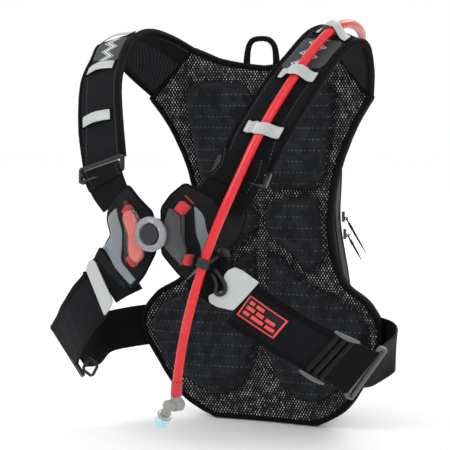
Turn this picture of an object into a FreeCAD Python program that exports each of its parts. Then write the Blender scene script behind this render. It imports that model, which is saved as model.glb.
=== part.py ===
"""Hydration pack: a slim drink pack with a crossed chest harness and a drink tube.

Frame: millimetres, +Z up.  The origin is the middle of the flat base's front edge line, on the
base plane.  The wearer's back meets the panel's -Y face; +X is the wearer's left.
"""
import FreeCAD, Part
import os
from math import cos, pi, sin, tan

V = FreeCAD.Vector
X, Y, Z = V(1, 0, 0), V(0, 1, 0), V(0, 0, 1)

# ---- driving dimensions, mm ----
panel_radius = 560.0        # plan radius of the panel's rear face; the wings curve towards the wearer
panel_thickness = 12.0
binding_width = 2.5
pad_height = 16.0
bag_wall = 2.5
base_thickness = 3.0
bag_low_centre = 130.0      # the bag's outline shrinks towards the line between these heights
bag_high_centre = 300.0
zipper_depth_y = 62.0       # where the main zipper runs, measured from the panel
zipper_band = 8.0
zipper_proud = 1.2
slider_gap = 1.5
slider_turn = 24.0          # the sliders face along the bag's side, turned this far from +X
port_radius = 8.5
strap_thickness = 8.0
webbing_thickness = 2.0
loop_thickness = 1.4
tube_loop_rise = 17.0       # the loops over the drink tube stand this high
loop_places_left = (3.1, 4.9, 6.1)      # where the reflective loops cross the straps, in stations
loop_places_right = (2.8, 4.45, 5.75)
tube_diameter = 10.0
running_gap = 0.3
ring_radius = 18.0
ring_bore = 11.2
button_radius = 10.6
button_travel = 2.0
hinge_radius = 3.0
buckle_y = -284.0           # plane between the buckle's ring half and its arm half
buckle_z = 251.0
hinge_x = 33.0
hinge_y = -279.0
chest_radius = 98.0         # plan radius of the chest plates' outer face
chest_centre_y = -176.0
plate_thickness = 4.0

# ---- outlines, right half, as (x, z) ----
panel_side = [(60, 0), (106, 26), (138, 72), (157, 116), (140, 150), (104, 176), (88, 232), (95, 296),
              (118, 352), (143, 389)]
neckline = [(93, 447), (58, 432), (0, 424)]
bag_side = [(0, -3), (50, -2), (84, 36), (97, 100), (89, 170), (78, 240), (80, 305), (76, 360), (48, 394),
            (0, 402)]
bag_levels = [(-25, 0), (15, 0), (62, 12), (84, 28), (96, 50)]     # (y, inset)
pocket_side = [(34, 62), (52, 84), (56, 150), (50, 215), (30, 244), (0, 250)]
pad_outlines = {
    "upper": [(11, 284), (54, 282), (78, 290), (88, 334), (92, 386), (88, 403), (50, 407), (22, 400), (12, 376)],
    "middle": [(5, 252), (15, 266), (46, 273), (70, 272), (80, 248), (86, 226), (82, 208), (68, 188), (57, 188),
               (42, 203), (18, 222), (6, 236)],
    "hip": [(10, 208), (34, 194), (64, 168), (100, 154), (132, 136), (142, 112), (128, 74), (98, 48), (64, 31),
            (34, 42), (14, 70), (7, 104)],
}

# ---- harness, right side, as (inner edge, outer edge) of the outward face ----
shoulder_stations = [
    ((92, -8, 448), (144, -20, 391)),
    ((104, -44, 464), (160, -58, 422)),
    ((110, -84, 471), (166, -88, 449)),
    ((108, -126, 463), (163, -118, 452)),
    ((101, -165, 438), (156, -145, 437)),
    ((89, -199, 407), (149, -180, 408)),
    ((69, -230, 359), (131, -215, 359)),
    ((61, -240, 332), (114, -234, 316)),
]
chest_webbing_stations = [
    ((62, -243, 324), (110, -239, 309)),
    ((50, -256, 309), (98, -243, 286)),
    ((40, -262, 294), (84, -242, 268)),
]
lower_webbing_stations = [
    ((60, -256, 232), (28, -264, 194)),
    ((76, -262, 225), (44, -268, 186)),
    ((90, -262, 217), (58, -267, 178)),
]
side_strap_stations = [
    ((104, -253, 201), (73, -258, 158)),
    ((141, -231, 176), (106, -234, 130)),
    ((176, -199, 149), (138, -201, 102)),
    ((207, -161, 123), (167, -161, 72)),
]
waist_band_stations = [
    ((140, -14, 138), (140, -14, 88)),
    ((172, -34, 134), (170, -34, 82)),
    ((193, -66, 131), (186, -64, 75)),
    ((206, -110, 128), (177, -106, 64)),
    ((206, -149, 125), (167, -149, 68)),
]
tab_corners = [(89, 217), (104, 200), (74, 158), (58, 178)]
ring_bar_ends = ((209, -156, 124), (168, -155, 68))

plate_outline = [(6, 230), (6, 277), (32, 301), (84, 270), (78, 244), (62, 236), (64, 226), (32, 190), (22, 202)]
insert_outline = [(47, 277), (60, 262), (56, 247), (65, 229), (32, 193), (26, 200), (43, 220), (41, 249)]
bow_outline = [(-8, 266), (-31, 278), (-35, 270), (-35, 228), (-27, 216), (-8, 236)]
bow_window = [(-21, 262), (-29, 266), (-29, 234), (-25, 228), (-21, 234)]
arm_outline = [(8, 262), (18, 279), (25, 277), (26, 272), (37, 271), (37, 231), (27, 229), (24, 222), (12, 238)]

# ---- routes of the hoses, mm ----
tube_route = [
    (60.3, 28.9, 373.4), (82.6, 21, 400.4), (108, 8, 431), (131, -20, 455), (142, -58, 468), (144, -98, 472.5),
    (140, -134, 463.5), (134, -163, 445), (127, -190, 420.5), (114, -218, 385), (101, -239, 350), (90, -255, 314),
    (73, -272, 266), (59, -281, 222), (41, -284, 164), (28, -281, 112), (22, -276, 80)]
inner_route = [(30, 60, 104), (31, 64, 146), (38, 67, 205), (45, 63, 262), (47, 58, 302), (48, 43, 337), (59, 29, 371)]
inner_diameter = 10.0

clip_point = (59, -281, 222)

# ---- bite valve ----
valve_axis = V(-0.4, -0.917, 0).normalize()       # the shut-off turns about this
mouth_axis = V(-0.55, 0.24, -0.80).normalize()    # the mouthpiece points this way when open


# ---------------------------------------------------------------- helpers
def vec(point):
    return V(*point)


def flat(point, y=0.0):
    return V(point[0], y, point[1])


def box(low, high):
    size = vec(high) - vec(low)
    return Part.makeBox(size.x, size.y, size.z, vec(low))


def cylinder(start, axis, radius, length):
    return Part.makeCylinder(radius, length, start, axis)


def mirrored(shape):
    return shape.mirror(V(0, 0, 0), X)


def spline(points, first=None, last=None):
    curve = Part.BSplineCurve()
    if first is None:
        curve.interpolate(Points=points)
    else:
        curve.interpolate(Points=points, InitialTangent=first, FinalTangent=last)
    return curve.toShape()


def rounded_outline(points, radius, y=0.0):
    """A closed wire of straight runs with the same rounding at each corner."""
    edges = []
    count = len(points)
    arcs = []
    for index in range(count):
        before, here, after = (flat(points[(index + step) % count], y) for step in (-1, 0, 1))
        back = (before - here)
        ahead = (after - here)
        turn = pi - back.getAngle(ahead)
        back.normalize()
        ahead.normalize()
        reach = radius * tan(turn / 2)
        middle = (back + ahead).normalize()
        bulge = here + middle * (radius / cos(turn / 2) - radius)
        arcs.append((here + back * reach, bulge, here + ahead * reach))
    for index in range(count):
        start, bulge, end = arcs[index]
        edges.append(Part.Arc(start, bulge, end).toShape())
        edges.append(Part.LineSegment(end, arcs[(index + 1) % count][0]).toShape())
    return Part.Wire(edges)


def prism(wire, y_low, y_high):
    """The wire's outline, drawn in the XZ plane, filled between two Y planes."""
    face = Part.Face(wire)
    face.translate(V(0, y_low - wire.BoundBox.YMin, 0))
    return face.extrude(V(0, y_high - y_low, 0))


def curved_shell(centre_y, inner, outer, z_low=-10.0, z_high=520.0):
    """The space between two upright cylinders about one axis."""
    length = z_high - z_low
    base = V(0, centre_y, z_low)
    return cylinder(base, Z, outer, length).cut(cylinder(base, Z, inner, length))


def on_chest(point, lift=0.0):
    """The point of the chest plates' outer face at (x, z), lifted off it."""
    radius = chest_radius + lift
    x = point[0]
    return V(x, chest_centre_y - (radius ** 2 - x ** 2) ** 0.5, point[1])


def ribbon(stations, thickness, lift=0.0, ruled=False):
    """A strap lofted through its stations; thickness goes inwards from the outward face."""
    pairs = [(vec(inner), vec(outer)) for inner, outer in stations]
    middles = [(inner + outer) * 0.5 for inner, outer in pairs]
    sections = []
    for index, (inner, outer) in enumerate(pairs):
        ahead = middles[min(index + 1, len(pairs) - 1)]
        behind = middles[max(index - 1, 0)]
        inwards = (outer - inner).cross(ahead - behind).normalize()
        low = inwards * -lift
        deep = inwards * (thickness - lift)
        sections.append(Part.makePolygon([inner + low, outer + low, outer + deep, inner + deep, inner + low]))
    return Part.makeLoft(sections, True, ruled)


def smooth(points, at):
    """A point on the smooth line through hand-set points; at counts points from 0."""
    index = min(max(int(at), 0), len(points) - 2)
    part = at - index
    before = points[max(index - 1, 0)]
    start, end = points[index], points[index + 1]
    after = points[min(index + 2, len(points) - 1)]
    leave = (end - before) * 0.5
    arrive = (after - start) * 0.5
    square, cube = part ** 2, part ** 3
    return (start * (2 * cube - 3 * square + 1) + leave * (cube - 2 * square + part)
            + end * (3 * square - 2 * cube) + arrive * (cube - square))


def between(stations, along, across, lift=0.0):
    """A point over a strap's outward face: along counts stations, across runs 0 to 1."""
    inner_line = [vec(inner) for inner, outer in stations]
    outer_line = [vec(outer) for inner, outer in stations]
    inner = smooth(inner_line, along)
    outer = smooth(outer_line, along)
    step = 0.02
    ahead = smooth(inner_line, along + step) + smooth(outer_line, along + step)
    behind = smooth(inner_line, along - step) + smooth(outer_line, along - step)
    outwards = (ahead - behind).cross(outer - inner).normalize()
    return inner * (1 - across) + outer * across + outwards * lift


def even_stations(stations, parts=4):
    """More stations on the smooth lines through a strap's own."""
    count = (len(stations) - 1) * parts
    return [(tuple(between(stations, i / parts, 0)), tuple(between(stations, i / parts, 1)))
            for i in range(count + 1)]


def placed(shape, origin, along, normal):
    """Move a shape drawn along X with its face towards +Z to a place in the harness."""
    along = V(along).normalize()
    normal = V(normal).normalize()
    side = normal.cross(along).normalize()
    normal = along.cross(side).normalize()
    matrix = FreeCAD.Matrix(along.x, side.x, normal.x, origin.x,
                            along.y, side.y, normal.y, origin.y,
                            along.z, side.z, normal.z, origin.z,
                            0, 0, 0, 1)
    return shape.copy().transformed(matrix)


def slotted_bar(length, width, thickness, slot_offsets, slot_width, rim=3.0):
    """A flat strap fitting with long slots, its edges softened."""
    shape = box((-length / 2, -width / 2, -thickness / 2), (length / 2, width / 2, thickness / 2))
    shape = shape.makeFillet(min(width, 8.0) * 0.35, [e for e in shape.Edges if abs(e.tangentAt(0).z) > 0.9])
    for offset in slot_offsets:
        slot = box((-length / 2 + rim, offset - slot_width / 2, -thickness),
                   (length / 2 - rim, offset + slot_width / 2, thickness))
        shape = shape.cut(slot)
    return shape


def hose_path(route):
    """Straight runs joined by the largest tangent arcs that the runs allow."""
    points = [vec(point) for point in route]
    edges = []
    radii = []
    last = points[0]
    for before, here, after in zip(points, points[1:], points[2:]):
        back = before - here
        ahead = after - here
        turn = pi - back.getAngle(ahead)
        reach = 0.45 * min(back.Length, ahead.Length)
        radius = reach / tan(turn / 2)
        radii.append(radius)
        back.normalize()
        ahead.normalize()
        start = here + back * reach
        end = here + ahead * reach
        bulge = here + (back + ahead).normalize() * (radius / cos(turn / 2) - radius)
        edges.append(Part.LineSegment(last, start).toShape())
        edges.append(Part.Arc(start, bulge, end).toShape())
        last = end
    edges.append(Part.LineSegment(last, points[-1]).toShape())
    return Part.Wire(edges), radii


def hose(route, diameter, name):
    path, radii = hose_path(route)
    direction = (vec(route[1]) - vec(route[0])).normalize()
    circle = Part.Wire(Part.Circle(vec(route[0]), direction, diameter / 2).toShape())
    solid = path.makePipeShell([circle], True, True)
    expected = pi * diameter ** 2 / 4 * path.Length
    print("%s length %.1f mm, volume ratio %.4f, radii %s" % (
        name, path.Length, solid.Volume / expected, [round(radius) for radius in radii]))
    return solid


# ---------------------------------------------------------------- pack body
def grown_chain(points, amount):
    """Moves each (x, z) point outwards, square to the line between its neighbours."""
    moved = []
    for i in range(len(points)):
        before = flat(points[max(i - 1, 0)])
        after = flat(points[min(i + 1, len(points) - 1)])
        way = (after - before).normalize()
        moved.append((points[i][0] + amount * way.z, points[i][1] - amount * way.x))
    return moved


def panel_wire(margin=0.0):
    chain = grown_chain(panel_side + neckline, margin) if margin else panel_side + neckline
    right = [flat(point) for point in chain[:len(panel_side)]]
    left = [V(-point.x, 0, point.z) for point in reversed(right)]
    neck_right = [flat(point) for point in chain[len(panel_side):]]
    neck_right[-1].x = 0
    neck = neck_right + [V(-point.x, 0, point.z) for point in reversed(neck_right[:-1])]
    edges = [
        Part.LineSegment(left[-1], right[0]).toShape(),
        spline(right, X, V(0.6, 0, 0.8)),
        Part.LineSegment(right[-1], neck[0]).toShape(),
        spline(neck),
        Part.LineSegment(neck[-1], left[0]).toShape(),
        spline(left, V(0.6, 0, -0.8), X),
    ]
    return Part.Wire(edges)


def panel_layer(wire, near, far):
    """An outline cut from a layer of the curved panel; near and far count from its rear face."""
    layer = curved_shell(-panel_radius, panel_radius - far, panel_radius - near)
    return prism(wire, -90, 5).common(layer)


def make_panel(parts):
    outline = panel_wire()
    parts["back_panel"] = panel_layer(outline, 0, panel_thickness)
    rim = prism(panel_wire(binding_width), -90, 5).cut(prism(outline, -95, 10))
    layer = curved_shell(-panel_radius, panel_radius - panel_thickness - 1, panel_radius)
    above_base = box((-200, -95, 3), (200, 10, 500))
    parts["panel_binding"] = rim.common(layer).common(above_base)
    pads = []
    for points in pad_outlines.values():
        pad = panel_layer(rounded_outline(points, 8.0), panel_thickness, panel_thickness + pad_height)
        pads += [pad, mirrored(pad)]
    parts["back_pads"] = Part.makeCompound(pads)


def bag_wire(y, inset):
    """The bag's closed outline at one depth, drawn in towards its middle line by the inset."""
    right = []
    for x, z in bag_side:
        centre = V(0, y, min(max(z, bag_low_centre), bag_high_centre))
        out = V(x, y, z) - centre
        right.append(centre + out * (1 - inset / out.Length))
    left = [V(-point.x, y, point.z) for point in reversed(right[1:-1])]
    curve = Part.BSplineCurve()
    curve.interpolate(Points=right + left, PeriodicFlag=True)
    return Part.Wire([curve.toShape()])


def bag_solid(growth=0.0):
    wires = [bag_wire(y + (growth if y > 50 else 0), inset - growth) for y, inset in bag_levels]
    return Part.makeLoft(wires, True, False)


def make_bag(parts):
    behind_panel = box((-200, -60, 0.1), (200, 200, 500)).cut(
        cylinder(V(0, -panel_radius, -20), Z, panel_radius, 560))
    above_base = box((-200, -60, base_thickness), (200, 200, 500))
    outer = bag_solid().common(behind_panel).common(above_base)
    inner = bag_solid(-bag_wall).common(box((-200, -60, base_thickness + bag_wall), (200, 200, 500)))
    port_axis = (vec(tube_route[1]) - vec(tube_route[0])).normalize()
    port_hole = cylinder(vec(tube_route[0]) - port_axis * 25, port_axis, port_radius + 0.3, 50)
    parts["bag_shell"] = outer.cut(inner).cut(port_hole)
    parts["bag_base"] = rounded_base()
    band = box((-150, zipper_depth_y - zipper_band / 2, 150), (150, zipper_depth_y + zipper_band / 2, 420))
    parts["main_zipper"] = bag_solid(zipper_proud).common(band).cut(bag_solid())
    return outer


def rounded_base():
    points = [(-58, 0), (58, 0), (54, 76), (-54, 76)]
    wire = rounded_outline(points, 10.0)
    plate = Part.Face(wire).extrude(V(0, base_thickness, 0))
    plate.rotate(V(0, 0, 0), X, -90)
    plate = plate.mirror(V(0, 0, 0), Y)
    return plate.translated(V(0, -plate.BoundBox.YMin, -plate.BoundBox.ZMin))


def pocket_wire(y, inset):
    right = [V(max(x - inset, 0), y, z + (inset if z < 80 else -inset if z > 230 else 0)) for x, z in pocket_side]
    left = [V(-point.x, y, point.z) for point in reversed(right[:-1])]
    return Part.Wire([spline(right + left), Part.LineSegment(left[-1], right[0]).toShape()])


def make_pocket(parts, bag_outer):
    outer = Part.makeLoft([pocket_wire(70, 0), pocket_wire(100, 1), pocket_wire(112, 9)], True, True)
    inner = Part.makeLoft([pocket_wire(60, 3), pocket_wire(99, 4), pocket_wire(110, 12)], True, True)
    parts["front_pocket"] = outer.cut(inner).cut(bag_outer)
    parts["pocket_zipper"] = box((-4, 112, 88), (4, 113.2, 226))


# ---------------------------------------------------------------- harness
def unchanged(shape):
    return shape


both_sides = (("left", unchanged), ("right", mirrored))


def strap_loop(stations, along, low_across, high_across, rise, width):
    """An elastic loop across a strap, arched over the tube; it starts and ends on the strap."""
    profile = [(low_across, 0.4), (low_across + 0.1, 2.0), (0.42, rise * 0.85), (0.53, rise),
               (0.64, rise * 0.85), (high_across - 0.1, 2.0), (high_across, 0.4)]
    centre = [between(stations, along, across, lift) for across, lift in profile]
    ahead = between(stations, along + 0.05, 0.5) - between(stations, along - 0.05, 0.5)
    ahead.normalize()
    bars = [((point - ahead * (width / 2)), (point + ahead * (width / 2))) for point in centre]
    return ribbon([(tuple(low), tuple(high)) for low, high in bars], loop_thickness)


def make_straps(parts):
    strap = ribbon(even_stations(shoulder_stations), strap_thickness, ruled=True)
    parts["shoulder_strap_left"] = strap
    parts["shoulder_strap_right"] = mirrored(strap)
    loops = [strap_loop(shoulder_stations, along, 0.2, 0.86, tube_loop_rise, 14.0) for along in loop_places_left]
    parts["strap_loops_left"] = Part.makeCompound(loops)
    flat_loops = [strap_loop(shoulder_stations, along, 0.2, 0.86, 5.0, 14.0) for along in loop_places_right]
    parts["strap_loops_right"] = Part.makeCompound([mirrored(loop) for loop in flat_loops])
    parts["strap_patch_left"] = make_patch(3.4, 4.6)
    parts["strap_patch_right"] = mirrored(make_patch(3.1, 4.2))


def make_patch(start, end):
    patch_stations = []
    for i in range(5):
        along = start + (end - start) * i / 4
        patch_stations.append((tuple(between(shoulder_stations, along, 0.12, 0.8)),
                               tuple(between(shoulder_stations, along, 0.88, 0.8))))
    return ribbon(patch_stations, 0.6, ruled=True)


def make_haul_loop(parts):
    """A flat loop of webbing standing at the neck."""
    outer = rounded_outline([(-31, 414), (13, 414), (11, 462), (-27, 462)], 14.0)
    inner = rounded_outline([(-24.5, 410), (6.5, 410), (4.5, 454), (-20.5, 454)], 7.0)
    webbing = prism(outer, 0.4, 4.4).cut(prism(inner, -5, 10))
    parts["haul_loop"] = webbing


def ladder_lock():
    """The lock at a strap's end: a frame with two slots and a lifted lip."""
    inner, outer = vec(shoulder_stations[-1][0]), vec(shoulder_stations[-1][1])
    along = outer - inner
    ahead = between(chest_webbing_stations, 0.5, 0.5) - (inner + outer) * 0.5
    normal = along.cross(ahead).normalize()
    if normal.y > 0:
        normal = normal * -1
    frame = slotted_bar(62, 19, 4.5, (-4.2, 4.2), 4.4)
    down = normal.cross(along).normalize()
    if down.z > 0:
        down = down * -1
    return placed(frame, (inner + outer) * 0.5 + down * 10.5 + normal * 1.0, along, normal)


def chest_layer(outline, corner, low, high):
    """An outline cut from a layer that wraps the chest; low and high are lifts off its face."""
    wire = rounded_outline(outline, corner)
    layer = curved_shell(chest_centre_y, chest_radius + low, chest_radius + high)
    return prism(wire, -320, -200).common(layer)


def make_chest(parts):
    webbing = ribbon(chest_webbing_stations, webbing_thickness)
    plate = chest_layer(plate_outline, 5.0, -plate_thickness, 0.0)
    insert = chest_layer(insert_outline, 3.0, 0.0, 1.2)
    for side, turn in both_sides:
        parts["ladder_lock_" + side] = turn(ladder_lock())
        parts["chest_webbing_" + side] = turn(webbing)
        parts["chest_plate_" + side] = turn(plate)
        parts["plate_insert_" + side] = turn(insert)
        loops = [red_loop(z) for z in (buckle_z + 23, buckle_z - 32)]
        parts["red_loops_" + side] = turn(Part.makeCompound(loops))


def red_loop(z):
    """A webbing eye that holds a buckle half's pin, with its tail on the chest plate."""
    height = 9.0
    centre = V(hinge_x, hinge_y, z)
    outside = hinge_radius + running_gap + 1.6
    eye = cylinder(centre, Z, outside, height)
    back = on_chest((hinge_x, z), 0.0).y
    tail = box((hinge_x, hinge_y - 1.0, z), (hinge_x + 17, hinge_y + 0.6, z + height))
    foot = box((hinge_x + 15, hinge_y - 1.0, z), (hinge_x + 17, back + 2.2, z + height))
    whole = eye.fuse(tail).fuse(foot)
    chest = cylinder(V(0, chest_centre_y, z - 5), Z, chest_radius, height + 10)
    return whole.cut(cylinder(centre - Z, Z, hinge_radius + running_gap, height + 2)).cut(chest)


def make_buckle(parts):
    pin_low, pin_high = buckle_z - 32, buckle_z + 34
    centre = V(0, buckle_y, buckle_z)
    # the clear ring half, on the -X side
    ring = cylinder(centre - Y * 7.4, Y, ring_radius, 7.0)
    bow = prism(rounded_outline(bow_outline, 4.0), buckle_y - 4.6, buckle_y - 0.4)
    window = prism(rounded_outline(bow_window, 3.0), buckle_y - 10, buckle_y + 5)
    pin = cylinder(V(-hinge_x, hinge_y, pin_low), Z, hinge_radius, pin_high - pin_low)
    web = box((-hinge_x - 2.0, buckle_y - 4.0, buckle_z - 18), (-hinge_x + 2.0, hinge_y, buckle_z + 20))
    bore = cylinder(centre - Y * 20, Y, ring_bore, 40)
    parts["buckle_ring_half"] = bow.cut(window).fuse(ring).fuse(pin).fuse(web).cut(bore)
    # the dark half, on the +X side, with the seat that the ring closes on
    seat = cylinder(centre + Y * 0.2, Y, ring_radius - 1.0, 5.0)
    arm = prism(rounded_outline(arm_outline, 1.5), buckle_y + 0.2, buckle_y + 5.2)
    arm_pin = cylinder(V(hinge_x, hinge_y, pin_low), Z, hinge_radius, pin_high - pin_low)
    recess = cylinder(centre - Y, Y, button_radius + 0.4, 1.2 + button_travel + 0.8)
    parts["buckle_arm_half"] = seat.fuse(arm).fuse(arm_pin).cut(recess)
    button = cylinder(centre - Y * 6.6, Y, button_radius, 6.8)
    parts["buckle_button"] = button.makeFillet(0.8, [button.Edges[0], button.Edges[2]])


def bar_frame():
    high, low = vec(ring_bar_ends[0]), vec(ring_bar_ends[1])
    along = high - low
    outward = V(0.78, -0.6, 0)
    return (high + low) * 0.5, along, outward


def make_lower_harness(parts):
    webbing = ribbon(lower_webbing_stations, webbing_thickness)
    side = ribbon(side_strap_stations, 2.6)
    band = ribbon([(outer, inner) for inner, outer in waist_band_stations], 2.6)
    tab_stations = [(tuple(on_tab(tab_corners[0])), tuple(on_tab(tab_corners[3]))),
                    (tuple(on_tab(tab_corners[1])), tuple(on_tab(tab_corners[2])))]
    tab = ribbon(tab_stations, 1.4)
    middle, along, outward = bar_frame()
    ring = placed(slotted_bar(72, 11, 4.0, (0,), 5.0), middle, along, outward)
    glide_middle = between(side_strap_stations, 2.15, 0.5, 2.6)
    glide_along = between(side_strap_stations, 2.15, 1.0) - between(side_strap_stations, 2.15, 0.0)
    glide_normal = between(side_strap_stations, 2.15, 0.5, 10.0) - between(side_strap_stations, 2.15, 0.5)
    glide = placed(slotted_bar(60, 24, 3.0, (-6, 6), 6.0), glide_middle, glide_along, glide_normal)
    for side_name, turn in both_sides:
        parts["lower_webbing_" + side_name] = turn(webbing)
        parts["reflective_tab_" + side_name] = turn(tab)
        parts["side_strap_" + side_name] = turn(side)
        parts["side_ring_" + side_name] = turn(ring)
        parts["waist_band_" + side_name] = turn(band)
    parts["tri_glide_left"] = glide
    label = [(tuple(between(side_strap_stations, along_strap, 0.1, 0.4)),
              tuple(between(side_strap_stations, along_strap, 0.6, 0.4))) for along_strap in (0.15, 0.6, 1.05)]
    parts["strap_label"] = ribbon(label, 0.5)


def on_tab(point):
    """The reflective tab lies just outside the lower webbing's end."""
    slope = (point[0] - 58) * 0.22
    return V(point[0], -269.5 + slope, point[1])


def make_tube(parts):
    parts["drink_tube"] = hose(tube_route, tube_diameter, "drink_tube")
    end = vec(tube_route[-1])
    down = (end - vec(tube_route[-2])).normalize()
    radius = tube_diameter / 2
    sleeve = cylinder(end - down * 16, down, radius + 1.2, 16).cut(cylinder(end - down * 17, down, radius + 0.05, 18))
    parts["tube_sleeve"] = sleeve
    clip_at = tube_route.index(clip_point)
    clip_centre = vec(clip_point)
    clip_axis = (vec(tube_route[clip_at + 1]) - vec(tube_route[clip_at - 1])).normalize()
    collar = cylinder(clip_centre - clip_axis * 5, clip_axis, radius + 2.6, 10)
    collar = collar.cut(cylinder(clip_centre - clip_axis * 20, clip_axis, radius + 0.8, 40))
    seat = on_chest((clip_centre.x + 6, clip_centre.z + 6), -0.2)
    foot = cylinder(seat, V(0.3, -1, 0).normalize(), 8.0, 2.4)
    stem = cylinder(seat, (clip_centre + V(4, 0, 0) - seat).normalize(), 3.0, (clip_centre - seat).Length)
    clip = collar.fuse(foot).fuse(stem.cut(cylinder(clip_centre - clip_axis * 20, clip_axis, radius + 0.8, 40)))
    chest = cylinder(V(0, chest_centre_y, 150), Z, chest_radius, 150)
    parts["tube_clip"] = clip.cut(chest).cut(parts["plate_insert_left"]).cut(parts["lower_webbing_left"])
    make_valve(parts, end, down)


def make_valve(parts, end, down):
    collar = cylinder(end + down * 0.2, down, 5.6, 4.0)
    core = end + down * 11.0
    barrel = cylinder(core - valve_axis * 8, valve_axis, 7.0, 11.0)
    parts["valve_elbow"] = collar.fuse(barrel)
    disc = cylinder(core + valve_axis * 3.3, valve_axis, 6.2, 9.5)
    neck_start = core + valve_axis * 8
    neck = cylinder(neck_start, mouth_axis, 4.5, 13.0)
    parts["valve_body"] = disc.fuse(neck)
    ring = cylinder(neck_start + mouth_axis * 13.0, mouth_axis, 8.0, 3.0)
    parts["valve_ring"] = ring
    bulb = Part.makeCone(5.5, 7.6, 9.0, neck_start + mouth_axis * 16.0, mouth_axis)
    tip = Part.makeCone(7.6, 6.0, 3.0, neck_start + mouth_axis * 25.0, mouth_axis)
    parts["mouthpiece"] = bulb.fuse(tip)


# ---------------------------------------------------------------- inside the bag
def make_reservoir(parts):
    levels = [(8, 16), (17, 3), (30, 0), (43, 3), (50, 16)]
    wires = []
    for y, inset in levels:
        corners = [(-66 + inset, 14 + inset), (66 - inset, 14 + inset),
                   (60 - inset, 310 - inset), (-60 + inset, 310 - inset)]
        wires.append(rounded_outline(corners, 26.0, y))
    collar = cylinder(V(-6, 44, 250), Y, 30.0, 10.2)
    parts["reservoir"] = Part.makeLoft(wires, True, True).fuse(collar)
    tab = box((-12, 26, 321), (12, 29, 350)).cut(cylinder(V(0, 20, 341), Y, 5.0, 20))
    parts["reservoir_bar"] = box((-58, 22, 310.2), (58, 36, 322)).fuse(tab)
    cap = cylinder(V(-6, 54.5, 250), Y, 29.0, 11.0)
    lugs = [box((-8, 65.5, 250 + sign * 12 - 4), (-4, 69, 250 + sign * 12 + 4)) for sign in (-1, 1)]
    for lug in lugs:
        cap = cap.fuse(lug)
    parts["reservoir_cap"] = cap
    start = vec(inner_route[0])
    outlet = cylinder(start - Z * 34, Z, 9.0, 33.8)
    neck = box((start.x - 6, 50.2, start.z - 30), (start.x + 6, start.y, start.z - 18))
    button_hole = cylinder(start - Z * 17, Y, 4.3, 12)
    parts["hose_outlet"] = outlet.fuse(neck).cut(button_hole)
    parts["connector_button"] = cylinder(start - Z * 17 + Y * 4.0, Y, 4.0, 7.5)
    parts["inner_hose"] = hose(inner_route, inner_diameter, "inner_hose")
    port_axis = (vec(tube_route[1]) - vec(tube_route[0])).normalize()
    port_at = vec(tube_route[0])
    bore = cylinder(port_at - port_axis * 30, port_axis, tube_diameter / 2 + 0.1, 60)
    barrel = cylinder(port_at - port_axis * 3, port_axis, port_radius, 12.0)
    flange = cylinder(port_at + port_axis * 7, port_axis, port_radius + 3, 2.4)
    nose = Part.makeCone(port_radius, tube_diameter / 2 + 1.2, 11.0, port_at + port_axis * 9, port_axis)
    parts["hose_port"] = barrel.fuse(flange).fuse(nose).cut(bore)


# ---------------------------------------------------------------- zipper sliders
def bag_edge(z):
    """The main zipper's outer surface on the +X side at a height."""
    points = bag_wire(zipper_depth_y, 12 - zipper_proud).discretize(900)
    right = [point for point in points if point.x > 0]
    return min(right, key=lambda point: abs(point.z - z))


def slider_and_pull(parts, name, z, offset_y, lean, length):
    """A slider on the main zipper with a cord pull that hangs from its bridge."""
    seat = bag_edge(z)
    low_x = seat.x + slider_gap
    body = box((low_x, zipper_depth_y - 4.5, z - 6), (low_x + 3.6, zipper_depth_y + 4.5, z + 6))
    body = body.makeFillet(1.2, [edge for edge in body.Edges if abs(edge.tangentAt(edge.FirstParameter).x) > 0.9])
    hinge = V(low_x + 5.4, zipper_depth_y + offset_y, z - 2)
    bridge = box((low_x + 3, hinge.y - 2.6, z - 3.8), (low_x + 7.6, hinge.y + 2.6, z - 0.2))
    bridge = bridge.cut(cylinder(hinge - Y * 5, Y, 1.35, 10))
    gap = box((low_x + 3.6, hinge.y - 1.4, z - 6), (low_x + 9, hinge.y + 1.4, z + 3))
    direction = V(sin(lean), 0, -cos(lean))
    pin = cylinder(hinge - Y * 2.4, Y, 1.05, 4.8)
    cord = cylinder(hinge, direction, 0.95, 12.0)
    grip = cylinder(hinge + direction * 10, direction, 1.9, length - 10)
    for piece, shape in (("_slider", body.fuse(bridge.cut(gap))), ("_pull", pin.fuse(cord).fuse(grip))):
        shape.rotate(seat, Z, slider_turn)
        parts[name + piece] = shape


def make_sliders(parts):
    slider_and_pull(parts, "upper", 244, -3.6, 0.50, 46)
    slider_and_pull(parts, "lower", 223, 3.6, 0.42, 34)
    body = box((-4.5, 113.6, 212), (4.5, 117.2, 224))
    hinge = V(0, 119.0, 216)
    bridge = box((-2.6, 117, 214.8), (2.6, 121, 217.2)).cut(cylinder(hinge - X * 5, X, 1.35, 10))
    bridge = bridge.cut(box((-1.4, 117.2, 210), (1.4, 123, 220)))
    parts["pocket_slider"] = body.fuse(bridge)
    direction = V(0, sin(0.1), -cos(0.1))
    pull = cylinder(hinge - X * 2.4, X, 1.05, 4.8).fuse(cylinder(hinge, direction, 1.05, 12.0))
    parts["pocket_pull"] = pull.fuse(cylinder(hinge + direction * 10, direction, 1.9, 26))


build = {}
make_panel(build)
bag_outer = make_bag(build)
make_pocket(build, bag_outer)
make_straps(build)
make_haul_loop(build)
make_chest(build)
make_buckle(build)
make_lower_harness(build)
make_tube(build)
make_reservoir(build)
make_sliders(build)
os.makedirs("parts", exist_ok=True)
for node, shape in build.items():
    print(node, shape.ShapeType, shape.isValid(), round(shape.Volume / 1000, 1), shape.BoundBox)
    shape.exportStep("parts/%s.step" % node)
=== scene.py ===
"""Looks of the hydration pack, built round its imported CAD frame.

Lengths are in millimetres until a mesh is made.  +X is the wearer's left, -Y is towards the
wearer and +Z is up, as in the frame.
"""
import math

import bmesh
import bpy
import numpy as np
from mathutils import Matrix, Vector, noise


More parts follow.
